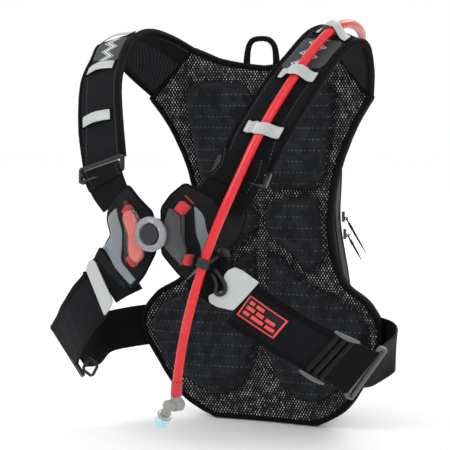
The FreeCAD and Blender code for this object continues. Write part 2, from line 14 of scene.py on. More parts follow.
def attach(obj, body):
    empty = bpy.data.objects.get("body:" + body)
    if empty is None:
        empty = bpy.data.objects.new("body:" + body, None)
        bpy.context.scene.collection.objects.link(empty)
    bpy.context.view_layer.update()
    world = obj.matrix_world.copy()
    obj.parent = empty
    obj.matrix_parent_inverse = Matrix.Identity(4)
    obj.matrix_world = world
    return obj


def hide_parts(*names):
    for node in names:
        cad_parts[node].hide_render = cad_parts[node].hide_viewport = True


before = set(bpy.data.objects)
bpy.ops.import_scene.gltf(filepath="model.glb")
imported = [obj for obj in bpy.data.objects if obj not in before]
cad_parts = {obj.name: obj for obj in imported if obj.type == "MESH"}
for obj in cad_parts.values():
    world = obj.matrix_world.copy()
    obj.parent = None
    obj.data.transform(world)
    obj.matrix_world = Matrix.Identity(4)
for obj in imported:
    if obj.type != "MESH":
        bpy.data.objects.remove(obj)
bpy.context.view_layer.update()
MM = 0.001


# ---------------------------------------------------------------- camera, floor and light
def look_along(azimuth, elevation):
    """The way from the object to a viewer at an azimuth and elevation in degrees."""
    a, e = math.radians(azimuth), math.radians(elevation)
    return Vector((math.sin(a) * math.cos(e), -math.cos(a) * math.cos(e), math.sin(e)))


CAMERA_AZIMUTH, CAMERA_ELEVATION, CAMERA_ROLL = 27.0, 5.0, -0.6
CAMERA_TARGET = (-0.028, -0.060, 0.241)
CAMERA_DISTANCE = 2.0
CAMERA_LENS, CAMERA_SENSOR = 136.4, 36.0
FLOOR_HALF = 6.0


def make_camera():
    """A long lens at the photo's height and turn."""
    data = bpy.data.cameras.new("camera")
    camera = bpy.data.objects.new("camera", data)
    bpy.context.collection.objects.link(camera)
    data.lens = CAMERA_LENS
    data.sensor_width = CAMERA_SENSOR
    back = look_along(CAMERA_AZIMUTH, CAMERA_ELEVATION)
    camera.location = Vector(CAMERA_TARGET) + back * CAMERA_DISTANCE
    turn = (-back).to_track_quat("-Z", "Y")
    roll = Matrix.Rotation(math.radians(CAMERA_ROLL), 4, "Z")
    camera.rotation_mode = "QUATERNION"
    camera.rotation_quaternion = (turn.to_matrix().to_4x4() @ roll).to_quaternion()
    bpy.context.scene.camera = camera


def make_light(name, place, target, size, power):
    data = bpy.data.lights.new(name, "AREA")
    data.shape = "DISK"
    data.size = size
    data.energy = power
    light = bpy.data.objects.new(name, data)
    light.location = place
    light.rotation_mode = "QUATERNION"
    light.rotation_quaternion = (Vector(target) - Vector(place)).to_track_quat("-Z", "Y")
    bpy.context.collection.objects.link(light)


def make_floor():
    """A flat pale floor, far wider than the view."""
    mesh = bpy.data.meshes.new("floor")
    corners = [(x, y, 0) for x in (-FLOOR_HALF, FLOOR_HALF) for y in (-FLOOR_HALF, FLOOR_HALF)]
    mesh.from_pydata(corners, [], [(0, 2, 3, 1)])
    floor = bpy.data.objects.new("floor", mesh)
    bpy.context.collection.objects.link(floor)
    material = bpy.data.materials.new("floor")
    material.use_nodes = True
    shader = material.node_tree.nodes["Principled BSDF"]
    shader.inputs["Base Color"].default_value = (0.99, 0.99, 0.99, 1)
    shader.inputs["Roughness"].default_value = 0.6
    mesh.materials.append(material)


def make_world():
    world = bpy.data.worlds.new("world")
    bpy.context.scene.world = world
    world.use_nodes = True
    background = world.node_tree.nodes["Background"]
    background.inputs["Color"].default_value = (1.0, 1.0, 1.0, 1)
    background.inputs["Strength"].default_value = 1.0


make_camera()
make_floor()
make_world()
make_light("key", (-1.2, -2.2, 2.4), (0, -0.1, 0.25), 1.6, 30)
make_light("fill", (2.2, -1.6, 1.4), (0, -0.1, 0.25), 1.8, 12)
make_light("rim", (0.6, 2.4, 2.2), (0, 0, 0.3), 1.6, 24)
bpy.context.scene.view_settings.view_transform = "Standard"


# ---------------------------------------------------------------- materials
class Signal:
    """An output of a material's nodes that takes sums and products."""

    def __init__(self, graph, socket):
        self.graph = graph
        self.socket = socket

    def __add__(self, other):
        return self.graph.math("ADD", self, other)

    def __sub__(self, other):
        return self.graph.math("SUBTRACT", self, other)

    def __rsub__(self, other):
        return self.graph.math("SUBTRACT", other, self)

    def __mul__(self, other):
        return self.graph.math("MULTIPLY", self, other)


class Graph:
    """A material's node tree, written as expressions."""

    def __init__(self, name, color, roughness=0.6, specular=0.4, **sockets):
        self.material = bpy.data.materials.new(name)
        self.material.use_nodes = True
        self.tree = self.material.node_tree
        self.shader = self.tree.nodes["Principled BSDF"]
        sockets.update(Base_Color=(*color, 1), Roughness=roughness, Specular_IOR_Level=specular)
        for socket, value in sockets.items():
            self.feed(self.shader, socket.replace("_", " "), value)

    def feed(self, node, socket, value):
        """Links a signal to a node's input, or sets the input's value."""
        if isinstance(value, Signal):
            self.tree.links.new(value.socket, node.inputs[socket])
        else:
            node.inputs[socket].default_value = value

    def add(self, kind, inputs=(), output=0, **settings):
        node = self.tree.nodes.new(kind)
        for key, value in settings.items():
            setattr(node, key, value)
        for socket, value in dict(inputs).items():
            self.feed(node, socket, value)
        return Signal(self, node.outputs[output])

    def math(self, operation, a, b=0.0, c=0.0):
        return self.add("ShaderNodeMath", {0: a, 1: b, 2: c}, operation=operation)

    def split(self, vector):
        node = self.tree.nodes.new("ShaderNodeSeparateXYZ")
        self.feed(node, 0, vector)
        return [Signal(self, part) for part in node.outputs]

    def path(self):
        """The millimetres along and across a strap, and the lift, that its mesh carries."""
        return self.split(self.add("ShaderNodeAttribute", output="Vector", attribute_name="path"))

    def place(self):
        """Object coordinates in metres."""
        return self.add("ShaderNodeTexCoord", output="Object")

    def millimetres(self):
        return self.add("ShaderNodeVectorMath", {0: self.place(), 3: 1 / MM}, operation="SCALE")

    def wave(self, value, period):
        """A sine of value, from 0 to 1."""
        turned = self.math("MULTIPLY_ADD", value, 2 * math.pi / period)
        return self.math("MULTIPLY_ADD", self.math("SINE", turned), 0.5, 0.5)

    def lattice(self, u, v, period, slope=None, other_period=None):
        """Two crossing sets of slanted waves, from 0 to 1."""
        rise = v * slope if slope else v
        return self.wave(u + rise, period) * self.wave(u - rise, other_period or period)

    def step(self, value, low, high):
        """0 below low, 1 above high, smooth between them; low may be the higher."""
        return self.add("ShaderNodeMapRange", {"Value": value, "From Min": low, "From Max": high},
                        interpolation_type="SMOOTHSTEP")

    def noise(self, vector, scale, detail=2.0, roughness=0.5):
        settings = {"Vector": vector, "Scale": scale, "Detail": detail, "Roughness": roughness}
        return self.add("ShaderNodeTexNoise", settings, noise_dimensions="3D")

    def mix(self, share, a, b):
        """A colour between a and b; a colour is a signal or three numbers."""
        node = self.tree.nodes.new("ShaderNodeMix")
        node.data_type = "RGBA"
        for name, value in (("Factor", share), ("A", a), ("B", b)):
            index = next(i for i, s in enumerate(node.inputs) if s.name == name and s.enabled)
            self.feed(node, index, (*value, 1) if isinstance(value, tuple) else value)
        return Signal(self, next(s for s in node.outputs if s.enabled))

    def color(self, signal):
        self.feed(self.shader, "Base Color", signal)

    def rough(self, signal, low, high, smoothest, roughest):
        """Roughness that follows a signal between low and high."""
        settings = {"Value": signal, "From Min": low, "From Max": high, "To Min": smoothest,
                    "To Max": roughest}
        self.feed(self.shader, "Roughness", self.add("ShaderNodeMapRange", settings))

    def bump(self, height, depth):
        """depth is the relief in millimetres."""
        settings = {"Height": height, "Distance": depth * MM, "Strength": 1.0}
        self.feed(self.shader, "Normal", self.add("ShaderNodeBump", settings, output="Normal"))


def shaded(color, factor, offset=0.0):
    """A darker or lighter colour."""
    return tuple(min(c * factor + offset, 1) for c in color)


def plain(name, color, roughness=0.45, depth=0.05, specular=0.4, **sockets):
    """Moulded plastic: fine grain, slight colour variation and scuffed patches."""
    g = Graph(name, color, roughness, specular, **sockets)
    where = g.place()
    g.color(g.mix(g.noise(where, 60.0, 3.0), shaded(color, 0.82), shaded(color, 1.15, 0.002)))
    g.rough(g.noise(where, 24.0, 5.0, 0.7), 0.3, 0.75, roughness - 0.07, roughness + 0.12)
    g.bump(g.noise(where, 1040.0), depth)
    return g.material


def woven(name, color, warp, weft, relief, roughness, stitch=(), sheen=0.0):
    """Cloth whose threads follow the strap.  stitch gives the rows of stitches, in mm across it."""
    g = Graph(name, color, roughness, 0.05, Sheen_Weight=sheen, Sheen_Roughness=0.5)
    along, across, _ = g.path()
    thread = g.wave(along, weft) * g.wave(across, warp)
    cloud = g.noise(g.place(), 42.0, 4.0, 0.6)
    base = g.mix(thread * 0.55 + cloud * 0.6, shaded(color, 0.5), shaded(color, 1.6, 0.001))
    height = thread * relief
    for row in stitch:
        near = g.math("ABSOLUTE", across - row)
        stitches = g.step(near, 0.75, 0.35) * g.step(g.wave(along, 3.6), 0.25, 0.45)
        base = g.mix(stitches, base, shaded(color, 3.2, 0.03))
        height = height - g.step(near, 1.8, 0.2) * 0.5 + stitches * 0.5
    g.color(base)
    g.bump(height, 1.0)
    return g.material


# ---------------------------------------------------------------- shapes
def piece(name, verts, faces, material, slot, body="pack", stands_for=(), path=None):
    """A mesh from points in millimetres, riding on a body."""
    mesh = bpy.data.meshes.new(name)
    mesh.from_pydata([Vector(v) * MM for v in verts], [], faces)
    mesh.validate()
    work = bmesh.new()
    work.from_mesh(mesh)
    bmesh.ops.recalc_face_normals(work, faces=work.faces)
    work.to_mesh(mesh)
    work.free()
    mesh.polygons.foreach_set("use_smooth", [True] * len(mesh.polygons))
    if path:
        attribute = mesh.attributes.new("path", "FLOAT_VECTOR", "POINT")
        attribute.data.foreach_set("vector", [c for p in path for c in p])
    mesh.materials.append(material)
    made = bpy.data.objects.new(name, mesh)
    bpy.context.collection.objects.link(made)
    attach(made, body)
    if stands_for:
        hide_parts(*stands_for)
    return made


def sharpen(made, degrees):
    """Keeps creases sharp where faces meet at more than an angle."""
    work = bmesh.new()
    work.from_mesh(made.data)
    for edge in work.edges:
        if len(edge.link_faces) == 2:
            edge.smooth = edge.calc_face_angle(0) < math.radians(degrees)
    work.to_mesh(made.data)
    work.free()


def ring_faces(rings, around, caps=True):
    """Faces that join rings of points, each of them around points long."""
    faces = []
    for i in range(rings - 1):
        for j in range(around):
            a, b = i * around + j, i * around + (j + 1) % around
            faces.append((a, b, b + around, a + around))
    if caps:
        faces.append(tuple(range(around))[::-1])
        faces.append(tuple((rings - 1) * around + j for j in range(around)))
    return faces


def closed_turns(rings, around):
    """Faces of a solid ring: its sections meet end to end."""
    faces = ring_faces(rings, around, caps=False)
    last = (rings - 1) * around
    return faces + [(last + j, last + (j + 1) % around, (j + 1) % around, j) for j in range(around)]


def smooth_point(points, at):
    """A point on the smooth line through points; at counts points from 0."""
    index = min(max(int(at), 0), len(points) - 2)
    part = at - index
    before = points[max(index - 1, 0)]
    start, end = points[index], points[index + 1]
    after = points[min(index + 2, len(points) - 1)]
    leave = (end - before) * 0.5
    arrive = (after - start) * 0.5
    square, cube = part ** 2, part ** 3
    return (start * (2 * cube - 3 * square + 1) + leave * (cube - 2 * square + part)
            + end * (3 * square - 2 * cube) + arrive * (cube - square))


class Strap:
    """A strap's outward face, from its stations; side is -1 for the mirrored one."""

    MARKS = 20  # measured points between two stations

    def __init__(self, stations, side=1):
        self.side = side
        self.inner = [Vector((a[0] * side, a[1], a[2])) for a, b in stations]
        self.outer = [Vector((b[0] * side, b[1], b[2])) for a, b in stations]
        self.last = len(stations) - 1
        self.marks = [0.0]
        before = self.point(0, 0.5)
        for i in range(1, self.last * self.MARKS + 1):
            here = self.point(i / self.MARKS, 0.5)
            self.marks.append(self.marks[-1] + (here - before).length)
            before = here

    def frame(self, along):
        inner = smooth_point(self.inner, along)
        outer = smooth_point(self.outer, along)
        step = 0.03
        ahead = smooth_point(self.inner, along + step) + smooth_point(self.outer, along + step)
        behind = smooth_point(self.inner, along - step) + smooth_point(self.outer, along - step)
        across = outer - inner
        outwards = (ahead - behind).cross(across).normalized() * self.side
        return inner, across, outwards

    def point(self, along, share, shift=0.0, lift=0.0):
        inner, across, outwards = self.frame(along)
        return inner + across * share + across.normalized() * shift + outwards * lift

    def run(self, along):
        """Millimetres from the strap's start."""
        at = min(max(along, 0), self.last) * self.MARKS
        index = min(int(at), len(self.marks) - 2)
        return self.marks[index] + (self.marks[index + 1] - self.marks[index]) * (at - index)


def band_profile(low_edge, high_edge, top, bottom, rounding, parts=10, crown=0.0):
    """A strap's section as (share, shift, lift) points, with round sides.

    low_edge and high_edge are (share, shift); crown lifts the middle of both faces."""
    profile = []
    middle, half = (top + bottom) / 2, (top - bottom) / 2
    for way, face, swell, edge in ((1, top, crown, high_edge),
                                   (-1, bottom, -crown * 0.5, low_edge)):
        for i in range(parts + 1):
            t = i / parts if way > 0 else 1 - i / parts
            share = low_edge[0] + (high_edge[0] - low_edge[0]) * t
            shift = low_edge[1] + rounding + (high_edge[1] - low_edge[1] - 2 * rounding) * t
            profile.append((share, shift, face + swell * math.sin(math.pi * t) ** 0.6))
        for i in range(1, 6):
            a = math.pi * i / 6
            shift = edge[1] - way * rounding + way * rounding * math.sin(a)
            profile.append((edge[0], shift, middle + way * half * math.cos(a)))
    return profile


def band(name, strap, start, end, profile, material, slot, stands_for=(), steps=60, warp=None):
    """Sweeps a section along a strap; warp may change each (along, share, shift, lift)."""
    verts, path = [], []
    for i in range(steps + 1):
        along = start + (end - start) * i / steps
        inner, across, outwards = strap.frame(along)
        width, unit = across.length, across.normalized()
        run = strap.run(along)
        for share, shift, lift in profile:
            if warp:
                share, shift, lift = warp(along, share, shift, lift)
            verts.append(inner + across * share + unit * shift + outwards * lift)
            path.append((run, share * width + shift, lift))
    faces = ring_faces(steps + 1, len(profile))
    return piece(name, verts, faces, material, slot, stands_for=stands_for, path=path)


def revolve(profile, start, axis, around=40):
    """Rings of (radius, height) points about an axis: the points and faces of a closed solid."""
    axis = Vector(axis).normalized()
    side = axis.orthogonal().normalized()
    other = axis.cross(side)
    verts = []
    for radius, height in profile:
        for i in range(around):
            a = 2 * math.pi * i / around
            spoke = side * math.cos(a) + other * math.sin(a)
            verts.append(Vector(start) + axis * height + spoke * radius)
    return verts, ring_faces(len(profile), around)


def joined(*parts):
    """Several (points, faces), or (points, faces, path), as one."""
    verts, faces, path = [], [], []
    for more_verts, more_faces, *more_path in parts:
        faces += [tuple(i + len(verts) for i in face) for face in more_faces]
        verts += more_verts
        path += more_path[0] if more_path else []
    return (verts, faces, path) if path else (verts, faces)


def edge_tapes(name, strap, start, end, steps, reach, section, warp):
    """Tape folded over both edges of a strap; reach is how far it goes outwards and inwards."""
    parts = []
    out, inwards = reach
    for low, high in (((0, -out), (0, inwards)), ((1, -inwards), (1, out))):
        edge = band_profile(low, high, *section)
        verts, path = [], []
        for i in range(steps + 1):
            along = start + (end - start) * i / steps
            for share, shift, lift in edge:
                verts.append(strap.point(along, *warp(along, share, shift, lift)))
                path.append((strap.run(along), shift, lift))
        parts.append((verts, ring_faces(steps + 1, len(edge)), path))
    verts, faces, path = joined(*parts)
    piece(name, verts, faces, binding_tape, "binding_tape", path=path)


def rounded(points, radius):
    """A closed (x, y) outline with its corners rounded."""
    out, parts = [], 5
    count = len(points)
    for i in range(count):
        here = Vector(points[i])
        back = Vector(points[i - 1]) - here
        ahead = Vector(points[(i + 1) % count]) - here
        reach = min(radius, back.length * 0.45, ahead.length * 0.45)
        start = here + back.normalized() * reach
        end = here + ahead.normalized() * reach
        for j in range(parts + 1):
            t = j / parts
            out.append((start * (1 - t) ** 2 + here * 2 * t * (1 - t) + end * t ** 2)[:])
    return out


def resampled(points, step):
    """A closed (x, y) outline with points about step apart."""
    out = []
    count = len(points)
    for i in range(count):
        a, b = Vector(points[i]), Vector(points[(i + 1) % count])
        parts = max(int(round((b - a).length / step)), 1)
        out += [(a + (b - a) * j / parts)[:] for j in range(parts)]
    return out


def edge_distance(outline, x, y):
    """Distance from a point to a closed outline."""
    best = 1e9
    count = len(outline)
    for i in range(count):
        ax, ay = outline[i]
        bx, by = outline[(i + 1) % count]
        dx, dy = bx - ax, by - ay
        long = dx * dx + dy * dy
        t = 0 if long < 1e-12 else min(max(((x - ax) * dx + (y - ay) * dy) / long, 0), 1)
        px, py = x - ax - dx * t, y - ay - dy * t
        best = min(best, px * px + py * py)
    return math.sqrt(best)


def turned_ring(profile, start, axis, around=40):
    """Like revolve, for a section that closes on itself."""
    return revolve(profile, start, axis, around)[0], closed_turns(len(profile), around)


def slab(outline, place, thickness, edge=1.2, crown=0.0, rings=7, centre=None, groove=None):
    """A soft-edged plate over an outline that can be seen whole from its centre.

    place(x, y, lift) gives a point; the back face is at lift 0 and the front at thickness + crown.
    groove is (distance from the edge, depth, width) of a pressed line."""
    outline = resampled(outline, 2.5)
    if centre is None:
        centre = (sum(p[0] for p in outline) / len(outline),
                  sum(p[1] for p in outline) / len(outline))
    count = len(outline)
    verts = []
    widest = max(edge_distance(outline, *centre), 1e-6)

    def ring(scale):
        return [(centre[0] + (x - centre[0]) * scale, centre[1] + (y - centre[1]) * scale)
                for x, y in outline]

    def height(x, y):
        d = edge_distance(outline, x, y)
        rise = thickness + crown * min(d / widest, 1) ** 0.7
        if d < edge:
            rise -= edge * (1 - math.sqrt(max(1 - (1 - d / edge) ** 2, 0)))
        if groove:
            rise -= groove[1] * math.exp(-((d - groove[0]) / groove[2]) ** 2)
        return rise

    def shares():
        """Rings close together near the edge, so that its rounding shows."""
        reach = max(math.hypot(x - centre[0], y - centre[1]) for x, y in outline)
        near = [1 - edge / reach * k for k in (0.12, 0.4, 0.8, 1.2)]
        if groove:
            near += [1 - (groove[0] + groove[2] * k) / reach for k in (-1.5, -0.7, 0, 0.7, 1.5)]
        inner = [near[-1] * (1 - (k + 1) / rings) for k in range(rings - 1)]
        return sorted(set(near + inner), reverse=True)

    for x, y in outline:
        verts.append(place(x, y, 0))
    for x, y in outline:
        verts.append(place(x, y, max(thickness - edge, thickness * 0.3)))
    levels = shares()
    for scale in levels:
        for x, y in ring(scale):
            verts.append(place(x, y, height(x, y)))
    verts.append(place(*centre, height(*centre)))
    faces = ring_faces(2 + len(levels), count, caps=False)
    last = (1 + len(levels)) * count
    for j in range(count):
        faces.append((last + j, last + (j + 1) % count, len(verts) - 1))
    back = len(verts)
    backs = levels[::2]
    for scale in backs:
        for x, y in ring(scale):
            verts.append(place(x, y, 0))
    verts.append(place(*centre, 0))
    previous = 0
    for k in range(len(backs)):
        base = back + k * count
        for j in range(count):
            faces.append((previous + (j + 1) % count, previous + j, base + j,
                          base + (j + 1) % count))
        previous = base
    for j in range(count):
        faces.append((previous + (j + 1) % count, previous + j, len(verts) - 1))
    return verts, faces


def tube_along(points, radius, around=10, flat=1.0, normal=(0.3, 0.2, 1)):
    """A round or flat cord through points, as points and faces; radius may be a list along it."""
    verts = []
    points = [Vector(p) for p in points]
    radii = [radius] if isinstance(radius, float) else radius
    up = Vector(normal)
    for i, here in enumerate(points):
        way = (points[min(i + 1, len(points) - 1)] - points[max(i - 1, 0)]).normalized()
        side = way.cross(up).normalized()
        up = side.cross(way).normalized()
        wide = radii[min(int(i / (len(points) - 1) * len(radii)), len(radii) - 1)]
        for j in range(around):
            a = 2 * math.pi * j / around
            verts.append(here + side * math.cos(a) * wide + up * math.sin(a) * wide * flat)
    return verts, ring_faces(len(points), around)


def thread_piece(name, line, radius, material, slot, around=8, normal=(0.3, 0.2, 1)):
    """A cord piece whose weave is counted in steps of 3 mm along it."""
    verts, faces = tube_along(line, radius, around, normal=normal)
    path = [(i // around * 3.0, i % around, 0) for i in range(len(verts))]
    piece(name, verts, faces, material, slot, path=path)


def through(points, steps):
    """Points along the smooth line through some."""
    points = [Vector(p) for p in points]
    total = (len(points) - 1) * steps
    return [smooth_point(points, i / steps) for i in range(total + 1)]


# ---------------------------------------------------------------- drink tube
TUBE_ROUTE = [
    (60.3, 28.9, 373.4), (82.6, 21, 400.4), (108, 8, 431), (131, -20, 455), (142, -58, 468),
    (144, -98, 472.5), (140, -134, 463.5), (134, -163, 445), (127, -190, 420.5), (114, -218, 385),
    (101, -239, 350), (90, -255, 314), (73, -272, 266), (59, -281, 222), (41, -284, 164),
    (28, -281, 112), (22, -276, 80)]
TUBE_DIAMETER = 10.0


def make_tube():
    data = bpy.data.curves.new("red_drink_tube", "CURVE")
    data.dimensions = "3D"
    data.resolution_u = 16
    data.bevel_resolution = 8
    data.use_fill_caps = True
    data.bevel_depth = TUBE_DIAMETER / 2 * MM
    spline = data.splines.new("NURBS")
    spline.points.add(len(TUBE_ROUTE) - 1)
    for point, place in zip(spline.points, TUBE_ROUTE):
        point.co = (*(Vector(place) * MM), 1)
    spline.order_u = 3
    spline.use_endpoint_u = True
    tube = bpy.data.objects.new("red_drink_tube", data)
    bpy.context.collection.objects.link(tube)
    g = Graph("red_tube", (0.60, 0.010, 0.016), 0.22, 0.3, Coat_Weight=0.3, Coat_Roughness=0.06,
              Subsurface_Weight=0.15, Subsurface_Scale=0.004)
    where = g.place()
    g.color(g.mix(g.noise(where, 30.0, 3.0), (0.50, 0.006, 0.012), (0.66, 0.012, 0.018)))
    g.rough(g.noise(where, 120.0, 4.0), 0.3, 0.7, 0.16, 0.30)
    data.materials.append(g.material)
    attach(tube, "pack")
    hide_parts("drink_tube")
    return tube


tube = make_tube()


# ---------------------------------------------------------------- shared finishes
STRAP_BLACK = (0.0075, 0.0078, 0.009)
WEB_BLACK = (0.0042, 0.0042, 0.005)

strap_cloth = woven("strap_cloth", STRAP_BLACK, 0.9, 0.8, 0.10, 0.8, stitch=(6.5, 51.0), sheen=0.02)
binding_tape = woven("binding_tape", (0.004, 0.004, 0.0048), 1.6, 0.8, 0.18, 0.7)
webbing = woven("webbing", WEB_BLACK, 2.2, 1.3, 0.28, 0.62)
hard_black = plain("hard_black", (0.010, 0.0105, 0.012), 0.34, specular=0.3)
grey_plastic = plain("grey_plastic", (0.085, 0.088, 0.092), 0.42)


def reflective_cloth(name, color):
    """Silver reflective tape: fine glass beads, a faint diamond weave and soft cloudy lighter and
    darker patches.
    """
    g = Graph(name, color, 0.42, 0.5, Metallic=0.12, Sheen_Weight=0.25, Sheen_Roughness=0.4)
    along, across, _ = g.path()
    weave = g.lattice(along, across, 1.3)
    cloud = g.noise(g.place(), 90.0, 4.0, 0.6)
    g.color(g.mix(weave * 0.35 + cloud * 0.75, shaded(color, 0.86), shaded(color, 1.08)))
    beads = g.add("ShaderNodeTexVoronoi", {"Vector": g.place(), "Scale": 2600.0, "Randomness": 1.0},
                  output="Distance")
    g.bump(weave * 0.08 + beads * 0.1, 0.5)
    return g.material


silver = reflective_cloth("silver_tape", (0.41, 0.43, 0.425))
grey_print = reflective_cloth("grey_print", (0.155, 0.185, 0.195))


# ---------------------------------------------------------------- shoulder straps
SHOULDER = [
    ((92, -8, 448), (144, -20, 391)),
    ((104, -44, 464), (160, -58, 422)),
    ((110, -84, 471), (166, -88, 449)),
    ((108, -126, 463), (163, -118, 452)),
    ((101, -165, 438), (156, -145, 437)),
    ((89, -199, 407), (149, -180, 408)),
    ((69, -230, 359), (131, -215, 359)),
    ((61, -240, 332), (114, -234, 316)),
]
LOOPS = {1: (3.1, 4.9, 6.1), -1: (2.8, 4.45, 5.75)}
PATCHES = {1: (3.4, 4.6), -1: (3.1, 4.2)}
SIDES = ((1, "left"), (-1, "right"))
UNDERSIDE = range(23, 33)  # points of the strap's section whose faces are netting


def strap_puckers(along, share, shift, lift):
    """Shallow creases where the foam bends over the shoulder."""
    wave = noise.noise(Vector((along * 2.3, share * 1.4, 0.5)))
    fine = noise.noise(Vector((along * 7.0, share * 5.0, 3.5)))
    middle = math.sin(math.pi * min(max(share, 0), 1))
    return share, shift, lift + (0.9 * wave + 0.35 * fine) * (0.3 + 0.7 * middle)


def make_shoulder_strap(side, word):
    strap = Strap(SHOULDER, side)
    body = band_profile((0, 0.5), (1, -0.5), -0.6, -7.2, 3.0, parts=16, crown=1.1)
    foam = band("strap_" + word, strap, 0, strap.last, body, strap_cloth, "strap_fabric",
                stands_for=("shoulder_strap_" + word,), steps=110, warp=strap_puckers)
    foam.data.materials.append(pad_net)
    for polygon in foam.data.polygons:
        polygon.material_index = int(polygon.vertices[0] % len(body) in UNDERSIDE)

    def ripple(along, share, shift, lift):
        return share, shift, lift + 0.25 * noise.noise(Vector((along * 9, share * 4, shift)))

    edge_tapes("strap_binding_" + word, strap, 0, strap.last, 110, (1.4, 4.2),
               (0.6, -8.3, 2.0, 3, 0.2), ripple)


LOOP_SECTION = ((-6.6, 0.2, 0), (-6.9, 0.7, 0), (-6.5, 1.1, 0), (-3, 1.2, 1), (0, 1.2, 1.3),
                (3, 1.2, 1), (6.5, 1.1, 0), (6.9, 0.7, 0), (6.6, 0.2, 0), (0, 0.2, 0))


def loop_profile(rise):
    """(share, lift) points of a band that arches over the tube or lies on the strap."""
    return [(0.19, 0.2), (0.21, 1.0), (0.30, 2.2 + rise * 0.1), (0.42, rise * 0.86),
            (0.47, rise * 0.98), (0.53, rise), (0.59, rise * 0.98), (0.64, rise * 0.86),
            (0.76, 2.2 + rise * 0.1), (0.85, 1.0), (0.87, 0.2)]


def slanted(side, share):
    """How far down the strap a band's point sits: the bands are sewn on a slant."""
    return 20 * (share - 0.44) if side < 0 else -9 * min(max((0.5 - share) / 0.31, 0), 1)


def make_loops(side, word):
    """Reflective bands over the strap, with black bar tacks at both ends."""
    strap = Strap(SHOULDER, side)
    rise = 16.2 if side > 0 else 4.6
    profile = [Vector((share, lift, 0)) for share, lift in loop_profile(rise)]
    count = (len(profile) - 1) * 5 + 1
    loops, tacks = [], []
    for along in LOOPS[side]:
        outwards = strap.frame(along)[2]
        run = strap.run(along)
        ahead = (strap.point(along + 0.05, 0.5) - strap.point(along - 0.05, 0.5)).normalized()
        verts, path = [], []
        for i in range(count):
            share, lift, _ = smooth_point(profile, i / 5)
            centre = strap.point(along, share, 0, lift) + ahead * slanted(side, share)
            curl = 0.5 * math.sin(math.pi * i / (count - 1))
            for shift, up, curled in LOOP_SECTION:
                verts.append(centre + ahead * shift + outwards * (up + curl * curled))
                path.append((run + shift, share * 60, up + curl * curled))
        loops.append((verts, ring_faces(count, len(LOOP_SECTION)), path))
        for share in (0.185, 0.875):
            verts, path = [], []
            for shift in (-7.6, -7.2, 7.2, 7.6):
                down = ahead * (shift + slanted(side, share))
                for across, up in ((-2.4, 0.3), (-2.0, 1.7), (2.0, 1.7), (2.4, 0.3)):
                    verts.append(strap.point(along, share, across, up) + down)
                    path.append((run + shift, across, up))
            tacks.append((verts, ring_faces(4, 4), path))
    verts, faces, path = joined(*loops)
    piece("reflective_loops_" + word, verts, faces, silver, "reflective",
          stands_for=("strap_loops_" + word,), path=path)
    verts, faces, path = joined(*tacks)
    piece("loop_tacks_" + word, verts, faces, binding_tape, "binding_tape", path=path)


def patch_cloth():
    """A dark patch with a plain printed zigzag: generic stripes, no mark."""
    g = Graph("strap_patch", (0.05, 0.052, 0.055), 0.7, 0.3)
    along, across, _ = g.path()
    fold = g.math("PINGPONG", along, 9.0)
    line = g.math("ABSOLUTE", across - g.math("MULTIPLY_ADD", fold, 1.4, 21.0))
    second = g.step(g.math("ABSOLUTE", line - 5.0), 1.1, 0.6)
    marks = g.math("MAXIMUM", g.step(line, 2.3, 1.5), second)
    weave = g.wave(along, 0.9) * g.wave(across, 0.9)
    cloth = g.mix(weave, (0.032, 0.033, 0.036), (0.075, 0.078, 0.082))
    g.color(g.mix(marks, cloth, (0.62, 0.63, 0.63)))
    g.bump(weave * 0.15 + marks * 0.25, 0.6)
    return g.material


def make_patch(side, word):
    strap = Strap(SHOULDER, side)
    start, end = PATCHES[side]
    profile = band_profile((0.12, 0), (0.88, 0), 1.9, 0.4, 0.7, parts=12, crown=0.8)

    def narrow_ends(along, share, shift, lift):
        t = (along - start) / (end - start)
        near = max(0.0, 1 - min(t, 1 - t) / 0.14)
        draw = 1 - 0.16 * near ** 2.2
        return 0.5 + (share - 0.5) * draw, shift, lift

    band("shoulder_patch_" + word, strap, start, end, profile, patch_cloth(), "grey_patch",
         stands_for=("strap_patch_" + word,), steps=36, warp=narrow_ends)


def net_cloth(name, dark, light, pitch):
    """Spacer mesh: rows of small holes, dark inside, with lighter yarn between them."""
    g = Graph(name, dark, 0.8, 0.06, Sheen_Weight=0.01)
    where = g.millimetres()
    x, y, z = g.split(where)
    row = g.math("MULTIPLY_ADD", z, 1.0, y * 0.35)
    yarn = g.step(g.lattice(x, row, pitch, 0.58), 0.54, 0.14)
    cloud = g.noise(where, 0.05, 3.0, 0.6)
    g.color(g.mix(yarn, dark, g.mix(cloud, shaded(light, 0.6), light)))
    g.bump(yarn, 0.7)
    return g.material


pad_net = net_cloth("pad_net", (0.003, 0.003, 0.004), (0.030, 0.031, 0.035), 2.2)

for side, word in SIDES:
    make_shoulder_strap(side, word)
    make_loops(side, word)
    make_patch(side, word)


# ---------------------------------------------------------------- back panel
PANEL_SIDE = [(60, 0), (106, 26), (138, 72), (157, 116), (140, 150), (104, 176), (88, 232),
              (95, 296), (118, 352), (143, 389)]
NECKLINE = [(93, 447), (76, 440), (58, 433), (28, 427), (0, 424)]
PANEL_RADIUS = 560.0
PANEL_THICKNESS = 12.0
PAD_HEIGHT = 15.0
PANEL_CROWN = 6.0
PANEL_COLUMNS = 121
PADS = (
    [(11, 284), (54, 282), (78, 290), (88, 334), (96, 386), (92, 404), (50, 407), (22, 400),
     (12, 376)],
    [(5, 252), (15, 266), (46, 273), (70, 272), (80, 248), (86, 226), (82, 208), (68, 188),
     (57, 188), (42, 203), (18, 222), (6, 236)],
    [(10, 208), (34, 194), (64, 168), (100, 154), (132, 136), (142, 112), (128, 74), (98, 48),
     (64, 31), (34, 42), (14, 70), (7, 104)],
)


def rear_face(x):
    return -PANEL_RADIUS + math.sqrt(PANEL_RADIUS ** 2 - x * x)


